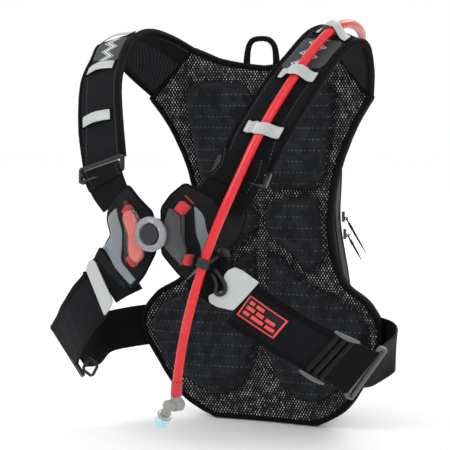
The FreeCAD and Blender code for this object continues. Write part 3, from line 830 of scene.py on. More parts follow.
def chain_points(points, steps):
    return [(p.x, p.y) for p in through([Vector((x, z, 0)) for x, z in points], steps)]


def panel_edge():
    """The right-hand edge, bottom to top, then the neckline to the middle."""
    return chain_points(PANEL_SIDE, 12), chain_points(NECKLINE, 6)


def neck_height(x):
    neck = panel_edge()[1]
    for (xa, za), (xb, zb) in zip(neck, neck[1:]):
        if xb <= abs(x) <= xa:
            return zb + (za - zb) * (abs(x) - xb) / max(xa - xb, 1e-9)
    return neck[0][1]


def distances(outline, xs, zs):
    """Signed distance to a closed outline for arrays of points; inside is negative."""
    best = np.full(xs.shape, 1e9)
    within = np.zeros(xs.shape, bool)
    count = len(outline)
    for i in range(count):
        ax, az = outline[i]
        bx, bz = outline[(i + 1) % count]
        dx, dz = bx - ax, bz - az
        t = np.clip(((xs - ax) * dx + (zs - az) * dz) / max(dx * dx + dz * dz, 1e-12), 0, 1)
        best = np.minimum(best, np.hypot(xs - ax - dx * t, zs - az - dz * t))
        if az != bz:
            cross = ((az > zs) != (bz > zs)) & (xs < (bx - ax) * (zs - az) / (bz - az) + ax)
            within ^= cross
    return np.where(within, -best, best)


def soft_step(values, low, high):
    t = np.clip((values - low) / (high - low), 0, 1)
    return t * t * (3 - 2 * t)


def panel_outline():
    side, neck = panel_edge()
    right = side + neck
    return right + [(-x, z) for x, z in reversed(right[:-1])]


def panel_relief(xs, zs):
    """How far the front face stands off the rear face, with the pad and groove shares."""
    edge = -distances(panel_outline(), xs, zs)
    round_edge = np.sqrt(np.clip(1 - (1 - np.clip(edge / 9.0, 0, 1)) ** 2, 0, 1))
    height = PANEL_THICKNESS * (0.5 + 0.5 * round_edge)
    height += PANEL_CROWN * soft_step(edge, 10, 60)
    pad = np.zeros(xs.shape)
    groove = np.zeros(xs.shape)
    for points in PADS:
        outline = chain_points(points + points[:1], 6)[:-1]
        for side in (1, -1):
            d = distances([(x * side, z) for x, z in outline], xs, zs)
            rise = np.clip(-d / 15.0, 0, 1)
            share = 1 - (1 - rise) ** 2.4
            lip = soft_step(-d, -1.5, 2.5)
            pad = np.maximum(pad, lip * 0.3 + share * 0.7)
            groove = np.maximum(groove, np.exp(-((d - 0.5) / 2.0) ** 2))
    near_edge = soft_step(edge, 4, 18)
    height += PAD_HEIGHT * pad * near_edge
    height -= 2.2 * groove * near_edge
    return height, pad * near_edge, groove


def panel_cloth():
    """Open spacer mesh in the channels, with painted highlights glinting on its knots; closer knit
    with rows of light dashes on the pads, and painted shade in the grooves round them.
    """
    g = Graph("panel_mesh", (0.03, 0.03, 0.032), 0.82, 0.08, Sheen_Weight=0.02)
    pad, groove, _ = g.path()
    where = g.millimetres()
    x, _, z = g.split(where)
    row = g.math("MULTIPLY_ADD", g.noise(where, 0.03), 1.5, z)
    knots = g.step(g.lattice(x, row, 3.7, 0.62), 0.28, 0.60)
    cloud = g.noise(where, 0.075, 4.0, 0.65)
    patchy = g.step(cloud, 0.38, 0.62)
    # Painted highlights: where glint is high the knots are painted pale, as light catching the
    # yarn; patchy varies their strength.
    glint = g.step(g.noise(where, 0.16, 2.0, 0.6), 0.36, 0.66)
    yarn_highlight = g.mix(patchy, (0.22, 0.22, 0.217), (0.60, 0.60, 0.59))
    channel = g.mix(knots, (0.006, 0.006, 0.0065), g.mix(glint, (0.05, 0.05, 0.05), yarn_highlight))
    knit = g.lattice(x, z, 2.2, 0.9)
    lines = g.step(g.wave(z, 13.0), 0.955, 0.99)
    dashes = g.step(g.wave(x + cloud * 4.0, 5.4), 0.45, 0.75)
    marks = lines * dashes * g.step(cloud, 0.35, 0.6)
    threads = g.mix(patchy, (0.012, 0.013, 0.015), (0.024, 0.026, 0.030))
    knit_color = g.mix(g.step(knit, 0.2, 0.5), threads, (0.002, 0.002, 0.003))
    pad_color = g.mix(marks * 0.4, knit_color, (0.15, 0.155, 0.16))
    on_pad = g.step(pad, 0.10, 0.32)
    base = g.mix(on_pad, channel, pad_color)
    # Painted shade: the colour is darkened in the grooves round the pads.
    g.color(g.mix(g.step(groove, 0.35, 0.95) * 0.85, base, (0.008, 0.008, 0.009)))
    g.bump(knots * (1.0 - on_pad) + (1.0 - knit) * (on_pad * 0.4), 0.9)
    return g.material


def make_panel():
    columns = PANEL_COLUMNS
    last_x, last_z = PANEL_SIDE[-1]
    neck_x, neck_z = NECKLINE[0]
    rows = panel_edge()[0]
    rows += [(last_x - (last_x - neck_x) * k / 14, last_z + (neck_z - last_z) * k / 14)
             for k in range(1, 15)]
    fine = []
    for (xa, za), (xb, zb) in zip(rows, rows[1:]):
        parts = max(1, round(math.hypot(xb - xa, zb - za) / 2.4))
        fine += [(xa + (xb - xa) * k / parts, za + (zb - za) * k / parts) for k in range(parts)]
    fine.append(rows[-1])
    top = rows[-1][1]
    spread = [2 * j / (columns - 1) - 1 for j in range(columns)]
    dip = [top - neck_height(neck_x * abs(s)) for s in spread]
    xs, zs = [], []
    for wide, high in fine:
        share = min(max((high - 300) / (top - 300), 0), 1) ** 1.6
        xs += [wide * s for s in spread]
        zs += [high - low * share for low in dip]
    xs, zs = np.array(xs), np.array(zs)
    height, pad, groove = panel_relief(xs, zs)
    count, base = len(fine), len(xs)
    verts, path = [], []
    for k in range(base):
        sag = 0.8 * noise.noise(Vector((xs[k] * 0.03, zs[k] * 0.03, 0.7)))
        verts.append((xs[k], rear_face(xs[k]) - height[k] + sag * min(height[k] / 20, 1), zs[k]))
        path.append((pad[k], groove[k], 0))
    for k in range(base):
        inset = 0.4 * PANEL_THICKNESS if min(k % columns, columns - 1 - k % columns) == 0 else 0.3
        verts.append((xs[k], rear_face(xs[k]) - inset, zs[k]))
        path.append((0, 0, 0))
    faces = []
    for i in range(count - 1):
        for j in range(columns - 1):
            a = i * columns + j
            faces.append((a, a + 1, a + 1 + columns, a + columns))
            faces.append((base + a, base + a + columns, base + a + 1 + columns, base + a + 1))
    for i in range(count - 1):
        for a in (i * columns, (i + 1) * columns - 1):
            b = a + columns
            faces.append((a, b, base + b, base + a))
    for j in range(columns - 1):
        for a in (j, (count - 1) * columns + j):
            faces.append((a, a + 1, base + a + 1, base + a))
    panel = piece("padded_panel", verts, faces, panel_cloth(), "panel_mesh",
                  stands_for=("back_panel", "back_pads"), path=path)


def make_panel_binding():
    """Grosgrain tape folded round the panel's edge."""
    side, neck = panel_edge()
    lowest = 4.2
    right = [(max(x - 1.0, 0), max(z, lowest)) for x, z in side] + neck
    half = [(right[0][0] * k / 10, lowest) for k in range(10)] + right
    loop = resampled(half + [(-x, z) for x, z in reversed(half[1:-1])], 3.0)
    section = []
    for i in range(16):
        c, s = math.cos(2 * math.pi * i / 16), math.sin(2 * math.pi * i / 16)
        section.append((3.3 * abs(c) ** 0.7 * (1 if c > 0 else -1.25),
                        7.2 * abs(s) ** 0.7 * (1 if s > 0 else -1)))
    verts, path, run = [], [], 0.0
    for i, (x, z) in enumerate(loop):
        ahead = Vector(loop[(i + 1) % len(loop)]) - Vector(loop[i - 1])
        ahead.normalize()
        outward = Vector((ahead.y, -ahead.x))
        run += (Vector(loop[i]) - Vector(loop[i - 1])).length if i else 0
        mid = rear_face(x) - PANEL_THICKNESS * 0.5
        ripple = 0.25 * noise.noise(Vector((run * 0.09, 0, 0)))
        for out, deep in section:
            verts.append((x + outward.x * (out + ripple), mid - deep,
                          max(z + outward.y * (out + ripple), 0.3)))
            path.append((run, out, deep))
    piece("panel_edge_tape", verts, closed_turns(len(loop), len(section)), binding_tape,
          "binding_tape", stands_for=("panel_binding",), path=path)


make_panel()
make_panel_binding()


# ---------------------------------------------------------------- chest plates and buckle
CHEST_RADIUS = 94.0
RIGHT_BEND = 0.45  # how much the wearer's right plate bends, against the left one
CHEST_Y = -176.0
PLATE = {
    1: [(6, 230), (6, 277), (17, 291), (32, 303), (84, 272), (78, 244), (66, 230), (40, 198),
        (26, 207)],
    -1: [(3, 231), (6, 272), (24, 287), (37, 300), (52, 288), (67, 272), (69, 262), (63, 246),
         (77, 230), (62, 212), (34, 189), (18, 206)],
}
INSERT = {
    1: [((40.5, 279), (41.5, 279.5)), ((41, 266), (49, 270)), ((42, 251), (52, 254)),
        ((46.5, 234), (57, 236)), ((44, 218), (52, 221)), ((31, 201), (37, 206))],
    -1: [((52, 275), (53.5, 275)), ((49, 264), (65, 264)), ((44.5, 252), (61, 248)),
         ((44.5, 236), (67, 238)), ((46, 220), (75.5, 229)), ((37, 210), (56, 212)),
         ((27, 200), (34, 194.5))],
}
BUCKLE_Y = -284.0
BUCKLE_Z = 251.0
PIN_X, PIN_Y, PIN_LENGTH, PIN_RADIUS = 33.0, -279.0, 66.0, 3.0
FORWARD = (0, -1, 0)


def chest(x, z, lift):
    """A point on the chest plates' back surface, x counted along its face."""
    radius = CHEST_RADIUS + lift
    share = x / (CHEST_RADIUS + 4)
    drop = (1 - math.sqrt(1 - share * share)) * radius * (RIGHT_BEND if x < 0 else 1.0)
    return Vector((share * radius, CHEST_Y - radius + drop, z))


def plate_cloth():
    g = Graph("plate_cloth", (0.014, 0.0145, 0.016), 0.72, 0.08, Sheen_Weight=0.02)
    where = g.millimetres()
    x, _, z = g.split(where)
    weave = g.lattice(x, z, 1.5)
    cloud = g.noise(where, 0.06, 4.0)
    g.color(g.mix(weave * 0.5 + cloud * 0.6, (0.004, 0.004, 0.005), (0.018, 0.0185, 0.020)))
    g.bump(weave, 0.18)
    return g.material


def clear_cover(name, color, roughness, transmission):
    g = Graph(name, color, roughness, 0.5, Transmission_Weight=transmission, IOR=1.46)
    where = g.place()
    g.rough(g.noise(where, 220.0, 5.0, 0.7), 0.35, 0.7, roughness - 0.06, roughness + 0.1)
    g.bump(g.noise(where, 320.0, 3.0), 0.04)
    return g.material


plate_black = plate_cloth()
clear = clear_cover("clear_plastic", (0.66, 0.65, 0.70), 0.10, 0.72)
clear_thin = clear_cover("clear_bow", (0.97, 0.93, 0.94), 0.08, 0.97)
button_black = plain("button_black", (0.026, 0.026, 0.028), 0.5, depth=0.08, specular=0.2)
arm_grey = plain("arm_grey", (0.034, 0.035, 0.038), 0.36, depth=0.04)


def red_core_material():
    g = Graph("red_core", (0.78, 0.09, 0.08), 0.35, 0.4, Subsurface_Weight=0.3,
              Subsurface_Scale=0.003)
    x, y, z = g.split(g.millimetres())
    streak = g.noise(g.add("ShaderNodeCombineXYZ", {0: x, 1: z * 0.25, 2: y}), 0.5, 3.0)
    g.color(g.mix(streak, (0.80, 0.05, 0.045), (1.0, 0.30, 0.24)))
    g.bump(streak, 0.15)
    return g.material


red_core = red_core_material()


def red_webbing_material():
    g = Graph("red_webbing", (0.62, 0.02, 0.025), 0.6, 0.3, Sheen_Weight=0.1)
    x, _, z = g.split(g.millimetres())
    rib = g.lattice(x, z, 1.1, other_period=1.6)
    g.color(g.mix(rib, (0.42, 0.010, 0.014), (0.78, 0.035, 0.04)))
    g.bump(rib, 0.3)
    return g.material


red_tape = red_webbing_material()


def turned(points, side):
    return [(x * side, z) for x, z in points]


def make_plate(side, word):
    outline = rounded(turned(PLATE[side], side), 4)
    verts, faces = slab(outline, chest, 4.2, edge=1.8, crown=0.4, centre=(40 * side, 245),
                        groove=(4.2, 0.7, 0.9))
    piece("chest_plate_" + word + "_cover", verts, faces, plate_black, "plate_fabric",
          stands_for=("chest_plate_" + word,))
    loop = [chest(x, z, 2.2) for x, z in resampled(outline, 3)]
    verts, faces = tube_along(loop + loop[:1], 1.9, around=8)
    path = [(i * 3.0 / 8, i % 8, 0) for i in range(len(verts))]
    piece("plate_piping_" + word, verts, faces, binding_tape, "binding_tape", path=path)


def make_insert(side, word):
    """The grey printed panel, a thin layer that follows the plate."""
    edges = [through([Vector(pair[k]).to_3d() for pair in INSERT[side]], 8) for k in (0, 1)]
    verts, path = [], []
    parts = 8
    for i, (a, b) in enumerate(zip(*edges)):
        row = [a + (b - a) * j / parts for j in range(parts + 1)]
        lifts = [4.6 + 0.15] + [4.9 + 0.15] * (parts - 1) + [4.6 + 0.15]
        for p, lift in list(zip(row, lifts)) + [(p, 3.6) for p in reversed(row)]:
            verts.append(chest(p.x * side, p.y, lift))
            path.append((i * 3.0, p.x, 0))
    piece("grey_insert_" + word, verts, ring_faces(len(edges[0]), 2 * (parts + 1)), grey_print,
          "grey_patch", stands_for=("plate_insert_" + word,), path=path)


def facing(y):
    """Places a slab's points on a plane that faces the front at y."""
    return lambda x, z, lift: Vector((x, y - lift, z))


def hinge_pin(side, end_radius, bevel):
    """An upright pin that a webbing eye folds over."""
    profile = [(0.01, 0), (end_radius, 0), (PIN_RADIUS, bevel), (PIN_RADIUS, PIN_LENGTH - bevel),
               (end_radius, PIN_LENGTH), (0.01, PIN_LENGTH)]
    return revolve(profile, (PIN_X * side, PIN_Y, BUCKLE_Z - 32), (0, 0, 1), 20)


def make_ring_half():
    section = [(11.8, 0), (11.6, 2.5), (11.7, 4.9), (12.3, 6.4), (13.4, 7.0), (14.6, 6.9),
               (15.2, 6.1), (16.0, 6.0), (16.7, 6.5), (17.6, 6.1), (18.4, 4.9), (18.6, 2.8),
               (18.4, 0.8), (17.8, 0)]
    ring = turned_ring(section, (0, BUCKLE_Y - 0.4, BUCKLE_Z), FORWARD, 56)
    piece("buckle_ring", *ring, clear, "clear_plastic", body="ring_half",
          stands_for=("buckle_ring_half",))
    bow = [(-29, 276.5), (-24, 277.4), (-19, 275), (-14.6, 268.8), (-13.5, 263), (-16.8, 251),
           (-14.5, 240), (-8.5, 235.5), (-9.8, 225), (-17.8, 218.2), (-26, 223), (-28.2, 232),
           (-28.4, 249), (-34, 267)]
    core = [(-32.4, 269.5), (-29, 274.3), (-23.5, 275), (-19.5, 270), (-16.3, 263), (-18.6, 251),
            (-16.2, 241), (-10.8, 234.5), (-12.2, 226.5), (-18.6, 220.4), (-24.8, 225),
            (-26.4, 233), (-26.2, 249), (-31.8, 265)]
    middle = (-22, 248)
    shell = slab(rounded(bow, 3.0), facing(BUCKLE_Y - 0.4), 4.6, edge=1.6, centre=middle, crown=0.5)
    piece("buckle_bow", *shell, clear_thin, "clear_plastic", body="ring_half")
    filling = slab(rounded(core, 2.5), facing(BUCKLE_Y - 0.8), 3.1, edge=1.0, centre=middle,
                   crown=0.3)
    piece("buckle_red_core", *filling, red_core, "clear_plastic", body="ring_half")
    piece("buckle_ring_pin", *hinge_pin(-1, 2.2, 0.8), hard_black, "clear_plastic",
          body="ring_half")


def make_button():
    section = [(0.01, 0), (10.3, 0), (10.6, 0.4), (10.6, 5.9), (10.3, 6.6), (9.6, 6.9), (8.8, 6.7),
               (6, 6.3), (3, 6.1), (0.01, 6.05)]
    cap = revolve(section, (0, BUCKLE_Y + 0.2, BUCKLE_Z), FORWARD, 48)
    piece("release_cap", *cap, button_black, "button_plastic", body="release_button",
          stands_for=("buckle_button",))


def make_arm_half():
    """A faceted arm: each row gives z, the left edge, the ridge and the right edge."""
    rows = [(278.2, 21.2, 22.3, 23.6), (272, 18.6, 25.4, 33.2), (264, 15.6, 27.0, 34.4),
            (252.5, 18.7, 27.6, 34.6), (243, 16.6, 30.8, 37.4), (237, 15.8, 33.0, 39.6),
            (228.5, 24.2, 35.6, 39.6), (221, 33.4, 35.2, 36.8)]
    seat = [(0.01, 0), (16.6, 0), (17.2, 0.7), (17.2, 4.0), (16.8, 4.6), (12.0, 4.7), (11.3, 4.2),
            (11.2, 2.2), (0.01, 2.1)]
    back = BUCKLE_Y + 5.2
    verts = []
    for z, left, ridge, right in rows:
        for x, lift in ((left, 0), (left, 4.4), (left + (ridge - left) * 0.55, 5.6), (ridge, 7.0),
                        (ridge + (right - ridge) * 0.2, 6.9), (right, 4.2), (right, 0)):
            verts.append((x, back - 2.0 - lift, z))
    web = slab(rounded([(13, 240), (36, 233), (36, 270), (13, 262)], 2), facing(back), 3.8,
               edge=0.8)
    whole = joined((verts, ring_faces(len(rows), 7)),
                   revolve(seat, (0, back, BUCKLE_Z), FORWARD, 48), hinge_pin(1, 2.4, 0.7), web)
    arm = piece("buckle_arm", *whole, arm_grey, "black_plastic", stands_for=("buckle_arm_half",))
    sharpen(arm, 18)


def make_red_loops():
    """Webbing eyes folded over the pins, slanted as the straps pull them."""
    tabs = {"left": ([(34.5, 286.5), (43.5, 279.5), (36, 271.5), (26, 277.5)],
                     [(39.5, 231), (46.5, 230), (43, 218.5), (35, 221)]),
            "right": ([(-29.5, 281.5), (-24.6, 276.4), (-31.5, 269.4), (-36.6, 273.2)],
                      [(-27.8, 228.4), (-20, 219.5), (-24, 214.4), (-32, 223.2)])}
    for word, outlines in tabs.items():
        parts = []
        for outline in outlines:
            centre = Vector((sum(p[0] for p in outline) / 4, sum(p[1] for p in outline) / 4))

            def place(x, z, lift, centre=centre):
                off = Vector((x, z)) - centre
                return Vector((x, -277.4 - lift + 0.03 * off.length_squared, z))

            parts.append(slab(rounded(outline, 1.6), place, 9.0, edge=1.3, crown=0.9, rings=5))
        piece("red_tabs_" + word, *joined(*parts), red_tape, "red_webbing",
              stands_for=("red_loops_" + word,))
    slit = slab(rounded([(31.5, 290.5), (39.5, 282), (40.5, 283), (32.5, 291.5)], 0.5),
                lambda x, z, lift: chest(x, z, 4.0 + lift), 1.0, edge=0.4, rings=3)
    piece("red_slit_left", *slit, red_tape, "red_webbing")


# ---------------------------------------------------------------- webbing, tabs and side straps
CHEST_WEB = [((62, -243, 324), (110, -239, 309)), ((50, -256, 309), (98, -243, 286)),
             ((40, -262, 294), (84, -242, 268))]
LOWER_WEB = [((60, -256, 232), (28, -264, 194)), ((76, -262, 225), (44, -268, 186)),
             ((90, -262, 217), (58, -267, 178))]
SIDE_STRAP = [((104, -253, 201), (73, -258, 158)), ((141, -231, 176), (106, -234, 130)),
              ((176, -199, 149), (138, -201, 102)), ((207, -161, 123), (167, -161, 72))]
WAIST_BAND = [((140, -14, 138), (140, -14, 88)), ((172, -34, 134), (170, -34, 84)),
              ((190, -66, 131), (184, -64, 81)), ((201, -110, 128), (175, -106, 73)),
              ((205, -149, 125), (167, -149, 77))]
TAB = {
    1: [(87, 217.5), (95, 214), (112, 202), (99, 187), (85, 172), (68, 175.5), (60, 180), (59, 187),
        (64, 189.8), (71, 189.8), (76.5, 193), (78.5, 200), (75, 207), (79.5, 214)],
    -1: [(81, 217), (87, 219), (92, 214.5), (95, 207), (82, 183), (69, 158.5), (60.5, 167),
         (56.5, 176), (69, 196.5)],
}
TAB_HOOK = [(66, 215, 0.5), (70, 211, 2.2), (75, 204, 3.0), (78, 197, 3.4), (76.5, 190.5, 3.6),
            (71, 188.5, 3.4), (67.5, 191.5, 3.0), (68.5, 198, 2.6), (66.5, 205, 1.5),
            (63, 210, 0.5)]


def swapped(stations):
    return [(outer, inner) for inner, outer in stations]


def side_stations(side):
    """The left strap hangs slacker at its upper edge; the right one is pulled straighter."""
    if side == 1:
        slack = (0, 6, 6, 2)
        return [(lower, (upper[0], upper[1], upper[2] - low))
                for (upper, lower), low in zip(SIDE_STRAP, slack)]
    return [((73, -258, 158), (104, -253, 201)), ((108, -236, 131), (135, -233, 177)),
            ((140, -205, 106), (168, -203, 151)), ((173, -161, 81), (207, -161, 123))]


def make_chest_webbing(side, word):
    strap = Strap(CHEST_WEB, side)
    under = band_profile((0, 0.4), (1, -0.4), 1.0, -1.8, 1.0)
    band("chest_web_" + word, strap, -0.28, 2.0, under, webbing, "webbing",
         stands_for=("chest_webbing_" + word,), steps=40)
    climb = side == 1
    if climb:
        strap = Strap([((65, -241, 340), (118, -235, 324))] + CHEST_WEB, side)

    def ease(along, share, shift, lift):
        """The folded tail passes over the left lock and lies down at its lower end."""
        down = min(max(0.0, (along - climb - 0.55) / 0.3), 1)
        over_lock = 4.6 / (1 + math.exp((along - 1.25) * 9)) if climb else 0.0
        return share, shift, lift - 1.6 * down ** 2 + over_lock

    over = band_profile((0, 0.0), (1, 0.0), 3.4, 1.1, 1.1, crown=0.3)
    folded = woven("folded_web_" + word, WEB_BLACK, 2.2, 1.3, 0.28, 0.62, stitch=(3.0, 45.0))
    band("chest_web_fold_" + word, strap, 0.0 if climb else -0.2, 0.85 + climb, over, folded,
         "webbing", steps=34, warp=ease)


def make_lower_webbing(side, word):
    strap = Strap(swapped(LOWER_WEB), side)
    flat = band_profile((0, 0.3 if side == 1 else -6), (1, -0.3), 1.0, -1.6, 1.0)
    band("lower_web_" + word, strap, -0.1, 2.0, flat, webbing, "webbing",
         stands_for=("lower_webbing_" + word,), steps=30)


def make_keeper():
    """The right side's cloth keeper over the lower webbing, bound all round."""
    def on_web(x, z, lift, y=-261.5):
        return Vector((x, y + (abs(x) - 58) * 0.12 - lift, z))

    outline = rounded([(-76, 231), (-38, 195.5), (-54, 177), (-83, 219.5)], 2.5)
    pad = slab(outline, on_web, 6.0, edge=2.0, centre=(-62, 206), crown=-0.6,
               groove=(3.4, 0.9, 1.2))
    piece("web_keeper", *pad, plate_black, "webbing")
    rim = [on_web(x, z, 0, -264.6) for x, z in resampled(outline, 3)]
    thread_piece("web_keeper_binding", rim + rim[:1], 2.0, keeper_tape, "webbing", normal=(0, 1, 0))


def tab_place(x, z, lift):
    """On the webbing, which falls back towards the sides."""
    return Vector((x, -270.0 + (abs(x) - 58) * 0.22 - lift, z))


def make_tab(side, word):
    """Silver tab sewn over the end of the mesh; the left one has a notch for a hook."""
    verts, faces = slab(rounded(turned(TAB[side], side), 2.2), tab_place, 1.8, edge=0.7, crown=0.5,
                        centre=(84 * side, 195), groove=(3.0, 0.25, 0.8))
    path = [(0.7 * v[0] - 0.7 * v[2], 0.7 * v[0] + 0.7 * v[2], 0) for v in verts]
    piece("silver_tab_" + word, verts, faces, silver, "reflective",
          stands_for=("reflective_tab_" + word,), path=path)


def mesh_band_cloth():
    """Elastic mesh: rows of small round holes, closed and ribbed at both edges."""
    g = Graph("side_mesh", (0.012, 0.012, 0.014), 0.75, 0.05)
    along, across, _ = g.path()
    open_part = g.step(across, 5.5, 6.5) * g.step(across, 47.0, 46.0)
    dots = g.step(g.lattice(along, across, 2.9, 0.62), 0.42, 0.72) * open_part
    rib = g.wave(along, 1.2)
    closed = g.mix(rib, (0.002, 0.002, 0.003), (0.006, 0.006, 0.007))
    base = g.mix(open_part, closed, (0.009, 0.009, 0.0115))
    g.color(g.mix(dots, base, (0.001, 0.001, 0.001)))
    g.bump(rib * 0.2 - dots, 0.7)
    return g.material


side_mesh = mesh_band_cloth()
keeper_tape = woven("keeper_tape", (0.004, 0.004, 0.005), 1.2, 0.9, 0.2, 0.5)
label_cloth = woven("label_cloth", (0.020, 0.016, 0.018), 1.2, 0.9, 0.15, 0.6)
red_print = plain("red_print", (0.66, 0.055, 0.05), 0.5, depth=0.1)


def make_side_strap(side, word):
    strap = Strap(side_stations(side), side)
    section = band_profile((0, 0.2), (1, -0.2), 0.6, -2.4, 1.4, parts=14, crown=0.3)

    def sag(along, share, shift, lift):
        edge = 1 - abs(2 * share - 1) ** 3
        drift = 0.8 * noise.noise(Vector((along * 2, share, 9)))
        return share, shift + drift, lift + 0.8 * edge * noise.noise(Vector((along * 3, share * 2,
                                                                             4)))

    start, end = (0, 2.14) if side == 1 else (-0.28, 3.02)
    band("side_mesh_" + word, strap, start, end, section, side_mesh, "side_mesh",
         stands_for=("side_strap_" + word,), steps=90, warp=sag)
    if side == 1:
        flat = band_profile((0, 1.5), (1, -1.5), 0.4, -1.8, 1.1, parts=12, crown=0.2)
        band("side_web_left", strap, 2.0, 3.02, flat, webbing, "webbing", steps=30)
    edge_tapes("side_mesh_binding_" + word, strap, start, end, 70, (1.0, 5.6),
               (1.2, -2.9, 1.4, 3, 0.25), sag)


bar_black = plain("bar_black", (0.0045, 0.0047, 0.0055), 0.55, specular=0.15)


def make_tri_glide():
    """Three crossbars joined by two thick rounded ends."""
    strap = Strap(side_stations(1), 1)
    bars, ends = [], []
    for along, lift in ((1.99, 2.0), (2.14, 2.6), (2.29, 2.0)):
        line = [strap.point(along, 0.02 + 0.96 * k / 8, 0, lift) for k in range(9)]
        bars.append(tube_along(line, 3.2, around=12, flat=0.6, normal=(0.6, -0.8, 0)))
    piece("tri_glide_bars", *joined(*bars), bar_black, "black_plastic",
          stands_for=("tri_glide_left",))
    radii = [0.8 + 1.9 * math.sin(math.pi * k / 18) ** 0.6 for k in range(19)]
    for share, shift in ((0, -1.8), (1, 1.8)):
        run = [strap.point(along, share, shift,
                           1.6 + 2.0 * math.sin(math.pi * (along - 1.86) / 0.56))
               for along in (1.86, 1.95, 2.05, 2.14, 2.23, 2.33, 2.42)]
        ends.append(tube_along(through(run, 3), radii, around=12))
    piece("tri_glide_ends", *joined(*ends), grey_plastic, "black_plastic")


def make_hooks():
    """The hook in the left tab, and the end of the right side ring that shows below the mesh."""
    hook = through([tab_place(*point) for point in TAB_HOOK], 4)
    piece("tab_hook", *tube_along(hook, 2.1), hard_black, "black_plastic")
    middle = Vector((-156, -158, 79))
    high, flat = Vector((0.5, 0, 0.86)) * 8.2, Vector((0.86, 0, -0.5)) * 7.4
    corners = [middle + high * a + flat * b for a, b in (
        (1, -0.7), (1, 0.7), (0.7, 1), (-0.7, 1), (-1, 0.7), (-1, -0.7), (-0.7, -1), (0.7, -1),
        (1, -0.7))]
    piece("side_ring_end", *tube_along(corners, 1.9, normal=(0, 1, 0)), hard_black, "black_plastic")


def make_label():
    """A dark patch with a red border and plain red bars; it carries no lettering."""
    strap = Strap(side_stations(1), 1)
    low, high = 0.10, 1.02
    patch = band_profile((0.25, 0), (0.77, 0), 2.4, 0.4, 0.7)
    band("label_patch", strap, low, high, patch, label_cloth, "label_fabric",
         stands_for=("strap_label",), steps=20)
    top, bottom = 0.115, 0.595
    bars = [(low + 0.02, high - 0.02, top, 0.14), (low + 0.02, high - 0.02, 0.57, bottom),
            (low + 0.02, low + 0.06, top, bottom), (high - 0.06, high - 0.02, top, bottom)]
    dashes = {0.19: ((0.0, 0.16), (0.22, 0.44)), 0.31: ((0.0, 0.26), (0.32, 0.52), (0.58, 0.84)),
              0.43: ((0.0, 0.2), (0.26, 0.6), (0.66, 0.92))}
    for share, row in dashes.items():
        bars += [(low + 0.12 + a * 0.76, low + 0.12 + b * 0.76, share, share + 0.075) for a,
                 b in row]
    parts, steps, across = [], 14, 5
    for start, end, near, far in bars:
        verts = []
        for i in range(steps + 1):
            along = start + (end - start) * i / steps
            row = [near + (far - near) * j / across for j in range(across + 1)]
            verts += [strap.point(along, 0.87 - share, 0, 2.9) for share in row]
            verts += [strap.point(along, 0.87 - share, 0, 1.8) for share in reversed(row)]
        parts.append((verts, ring_faces(steps + 1, 2 * (across + 1))))
    piece("label_marks", *joined(*parts), red_print, "label_fabric")


def make_waist_band(side, word):
    strap = Strap(swapped(WAIST_BAND), side)
    section = band_profile((0, 0), (1, 0), 1.4, -1.4, 1.2)

    def ease(along, share, shift, lift):
        return share, shift, lift + 1.2 * noise.noise(Vector((along * 1.3, share, 2.5)))

    band("waist_web_" + word, strap, -0.25, 4.06, section, webbing, "webbing",
         stands_for=("waist_band_" + word,), steps=90, warp=ease)


for side, word in SIDES:
    make_plate(side, word)
    make_insert(side, word)
    make_chest_webbing(side, word)
    make_lower_webbing(side, word)
    make_tab(side, word)
    make_side_strap(side, word)
    make_waist_band(side, word)
make_keeper()
make_tri_glide()
make_hooks()
make_label()
make_ring_half()
make_button()
make_arm_half()
make_red_loops()


# ---------------------------------------------------------------- bag
BAG_SIDE = [(0, -3), (50, -2), (84, 36), (97, 100), (89, 170), (78, 240), (80, 305), (76, 360),
            (48, 394), (0, 402)]
BAG_DEPTHS = [(15, 0), (30, 2.4), (46, 6.5), (62, 12), (74, 19), (84, 28), (91, 38), (96, 50)]
BAG_LOW, BAG_HIGH = 130.0, 300.0
ZIP_DEPTH = 62.0
ZIP_LOW = 150.0
POCKET_SIDE = [(0, 62), (34, 62), (52, 84), (56, 150), (50, 215), (30, 244), (0, 250)]


def pack_fabric():
    """Ripstop: fine threads with a raised square grid, softly creased."""
    g = Graph("pack_fabric", (0.012, 0.0125, 0.014), 0.62, 0.12, Sheen_Weight=0.03)
    where = g.millimetres()
    x, y, z = g.split(where)
    run = x + y
    thread = g.wave(run, 0.9) * g.wave(z, 0.9)
    grid = g.math("MAXIMUM", g.step(g.wave(run, 6.0), 0.93, 0.99),
                  g.step(g.wave(z, 6.0), 0.93, 0.99))
    shade = thread * 0.3 + g.noise(where, 0.02, 4.0, 0.6) * 0.7
    base = g.mix(shade, (0.006, 0.0065, 0.0075), (0.020, 0.021, 0.024))
    g.color(g.mix(grid * 0.4, base, (0.032, 0.033, 0.036)))
    g.bump(thread * 0.1 + grid * 0.25 + g.noise(where, 0.035, 3.0, 0.55) * 2.2, 1.0)
    return g.material


def coil_teeth():
    """Moulded zipper coil: turns across the run, each painted lighter at its crest as a painted
    highlight.
    """
    g = Graph("zipper_coil", (0.018, 0.018, 0.02), 0.35, 0.5)
    turn = g.wave(g.path()[0], 1.7)
    # Painted highlight: the colour follows the turn wave, light on each crest and dark between.
    g.color(g.mix(turn, (0.006, 0.006, 0.007), (0.045, 0.046, 0.049)))
    g.bump(turn, 0.7)
    return g.material


bag_cloth = pack_fabric()
base_cloth = woven("base_cloth", (0.013, 0.013, 0.015), 1.4, 1.4, 0.3, 0.7)
zip_tape = woven("zip_tape", (0.010, 0.010, 0.011), 0.8, 1.1, 0.15, 0.7)
zip_coil = coil_teeth()
film = clear_cover("bladder_film", (0.60, 0.74, 0.86), 0.22, 0.55)
pale_plastic = plain("pale_plastic", (0.36, 0.42, 0.48), 0.4, depth=0.04)
blue_plastic = plain("blue_plastic", (0.05, 0.16, 0.34), 0.4, depth=0.04)
slider_metal = plain("slider_metal", (0.06, 0.062, 0.066), 0.32, depth=0.05, Metallic=0.6)
pull_cord = woven("pull_cord", (0.012, 0.012, 0.013), 1.0, 1.4, 0.3, 0.65)


